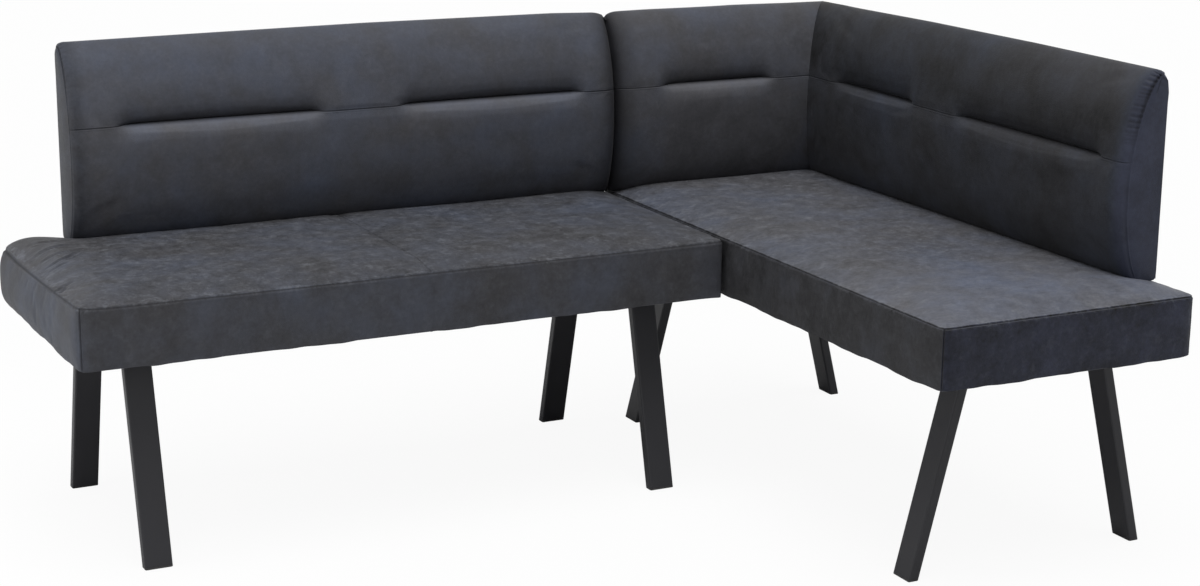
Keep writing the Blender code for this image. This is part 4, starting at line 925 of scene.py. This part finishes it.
def finish_backrest(rest, length, ends, joined, nodes, tones):
    """Sews and puckers the refined cushion, and writes its tones."""
    marks = ("along", "around", "cap", "fold", "lip")
    along, around, cap, fold, lip = (read_mark(rest, word) for word in marks)
    sew(rest, depth=0.0014)
    PUCKER_STEP, PUCKER_DEPTH = 0.0085, 0.0018
    places = points_of(rest)
    end_share = np.zeros(len(along))
    for radius, _, from_end in each_end(ends, along, length):
        if 0 < radius < SEAMED_END:
            # the cover is eased into the seam of its end panel in small regular puckers
            fade = np.where(cap < 0.02, smooth_step((0.016 - from_end) / 0.010), 0)
            fade *= smooth_step((around - STITCH - 0.02) / 0.05) * (around < FRONT_END - REAR_SEAM)
            fade *= 1 if joined[0] else 0.3
            wave = (0.5 + 0.5 * np.cos(around * 2 * np.pi / PUCKER_STEP + 2 * np.sin(around * 90))) ** 2
            places -= outward_of(rest) * (PUCKER_DEPTH * fade * wave)[:, None]
            # painted shade in the puckers
            fold = np.maximum(fold, 0.6 * fade * wave)
            end_share = np.maximum(end_share, np.where(cap > 0.02, 1, smooth_step((0.040 - from_end) / 0.040)))
        elif radius:
            # painted shadow over the joint between the two modules
            shadow = 0.95 * np.exp(-(np.maximum(from_end, 0) / radius) ** 2)
            fold = np.maximum(fold, shadow * (around < FRONT_END - 0.02))
    put_points(rest, places)
    mark(rest, "fold", fold)
    mark(rest, "wear_and_highlight", np.full(len(along), 0.04 if joined[0] else 0.16))
    over_stitch = smooth_step((around - STITCH + 0.01) / 0.05)
    # the lightness above and below the stitch line and on the end panel paints in light and shade
    for word, (upper, lower, end) in zip(("tone", "tint"), tones):
        face = lower + (upper - lower) * over_stitch
        if word == "tone" and joined[0]:
            # painted light: the corner's long cushion is drawn paler towards its free end and its crest
            face += 0.18 * smooth_step((along - 0.45) / 0.6) * smooth_step((around - STITCH - 0.05) / 0.09)
        elif word == "tone":
            # painted highlight on the folds' lower lips
            face += 0.3 * lip
        mark(rest, word, face + (end - face) * end_share)
    for word in ("along", "around", "cap", "lip"):
        rest.data.attributes.remove(rest.data.attributes[word])
    rest.data.materials.clear()
    rest.data.materials.append(hide)
    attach(rest, "root")
    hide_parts(*nodes)


def along_wall(start):
    return lambda along, depth, height: np.stack([start + along, REAR_Y - depth, height], axis=1)


def out_from_wall(along, depth, height):
    return np.stack([REAR_X - depth, REAR_Y - along, height], axis=1)


backrest("long_backrest_cushion", 1.1135, 150, folds=((0.074, 0.494), (0.628, 1.044)),
         ends=((0.011, 1.0), (0.030, 0.35)), joined=(0, 0),
         crest=((0, -0.001), (0.3, 0.001), (0.6, 0.0025), (1.0, 0.0), (1.08, -0.003), (1.12, -0.004)),
         to_world=along_wall(-0.77175), nodes=("long_backrest_cover", "long_backrest_foam"),
         tones=((0.46, 0.46, 0.20), (0.5, 0.5, 0.6)))
backrest("corner_backrest_short_cushion", 0.5355, 78, folds=((0.084, 0.366),),
         ends=((0.032, 0.35), (0, 0)), joined=(0, 1),
         crest=((0, -0.005), (0.1, -0.004), (0.3, -0.005), (0.43, -0.008), (0.5355, -0.009)),
         to_world=along_wall(0.34475), nodes=("corner_backrest_short_cover", "corner_backrest_short_foam"),
         tones=((0.44, 0.46, 0.35), (0.45, 0.4, 0.4)))
backrest("corner_backrest_long_cushion", 1.116, 150, folds=((0.178, 0.478), (0.604, 1.060)),
         ends=((0, 0), (0.020, 0.45)), joined=(1, 0),
         crest=((0, -0.009), (0.15, -0.006), (0.4, 0.0), (0.75, 0.0045), (1.116, 0.006)),
         to_world=out_from_wall, nodes=("corner_backrest_long_cover", "corner_backrest_long_foam"),
         tones=((0.05, 0.17, 0.18), (0.5, 0.5, 1.4)))


# --- Rear panels --------------------------------------------------------------------------------------------
# The back of each backrest is closed by a flat panel of the same cover, stretched over the board and sewn on
# blind along its edges.
for node, across in (("long_backrest", 0), ("corner_backrest_short", 0), ("corner_backrest_long", 1)):
    low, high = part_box(node + "_rear_cover")
    flat = 1 - across
    if node == "long_backrest":
        low.x += 0.006      # the cushion's free end is drawn in as far

    def draw(places):
        edge = np.minimum(places - np.array(low), np.array(high) - places)
        inside = np.minimum(edge[:, across], edge[:, 2])
        move = np.zeros_like(places)
        ripple = 0.0003 * np.sin(places[:, across] * 60) * np.exp(-inside / 0.02)
        move[:, flat] = 0.0005 * smooth_step(inside / 0.02) + ripple
        # the upper corners are cut round, as the backrest's own ends are
        ROUND = 0.024
        middle, half = (np.array(low) + high) / 2, (np.array(high) - low) / 2
        over = np.abs(places - middle) - (half - ROUND)
        upper = (over[:, across] > 0) & (over[:, 2] > 0) & (places[:, 2] > middle[2])
        both = over[upper][:, (across, 2)]
        new = both.max(1) / np.hypot(*both.T)
        for axis in (across, 2):
            move[upper, axis] = np.sign(places[upper, axis] - middle[axis]) * over[upper, axis] * (new - 1)
        return move

    panel = flat_cloth(node + "_rear_panel", low, high, across, up=2, step=0.01, thickness=0.0008, relief=draw)
    bpy.ops.object.shade_smooth_by_angle(angle=0.6)
    for word, amount in (("tone", 0.45), ("tint", 0.45), ("wear_and_highlight", 0.3)):
        mark(panel, word, np.full(len(panel.data.polygons), amount), "FACE")
    panel.data.materials.append(hide)
    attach(panel, "root")
    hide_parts(node + "_rear_cover")


low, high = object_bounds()
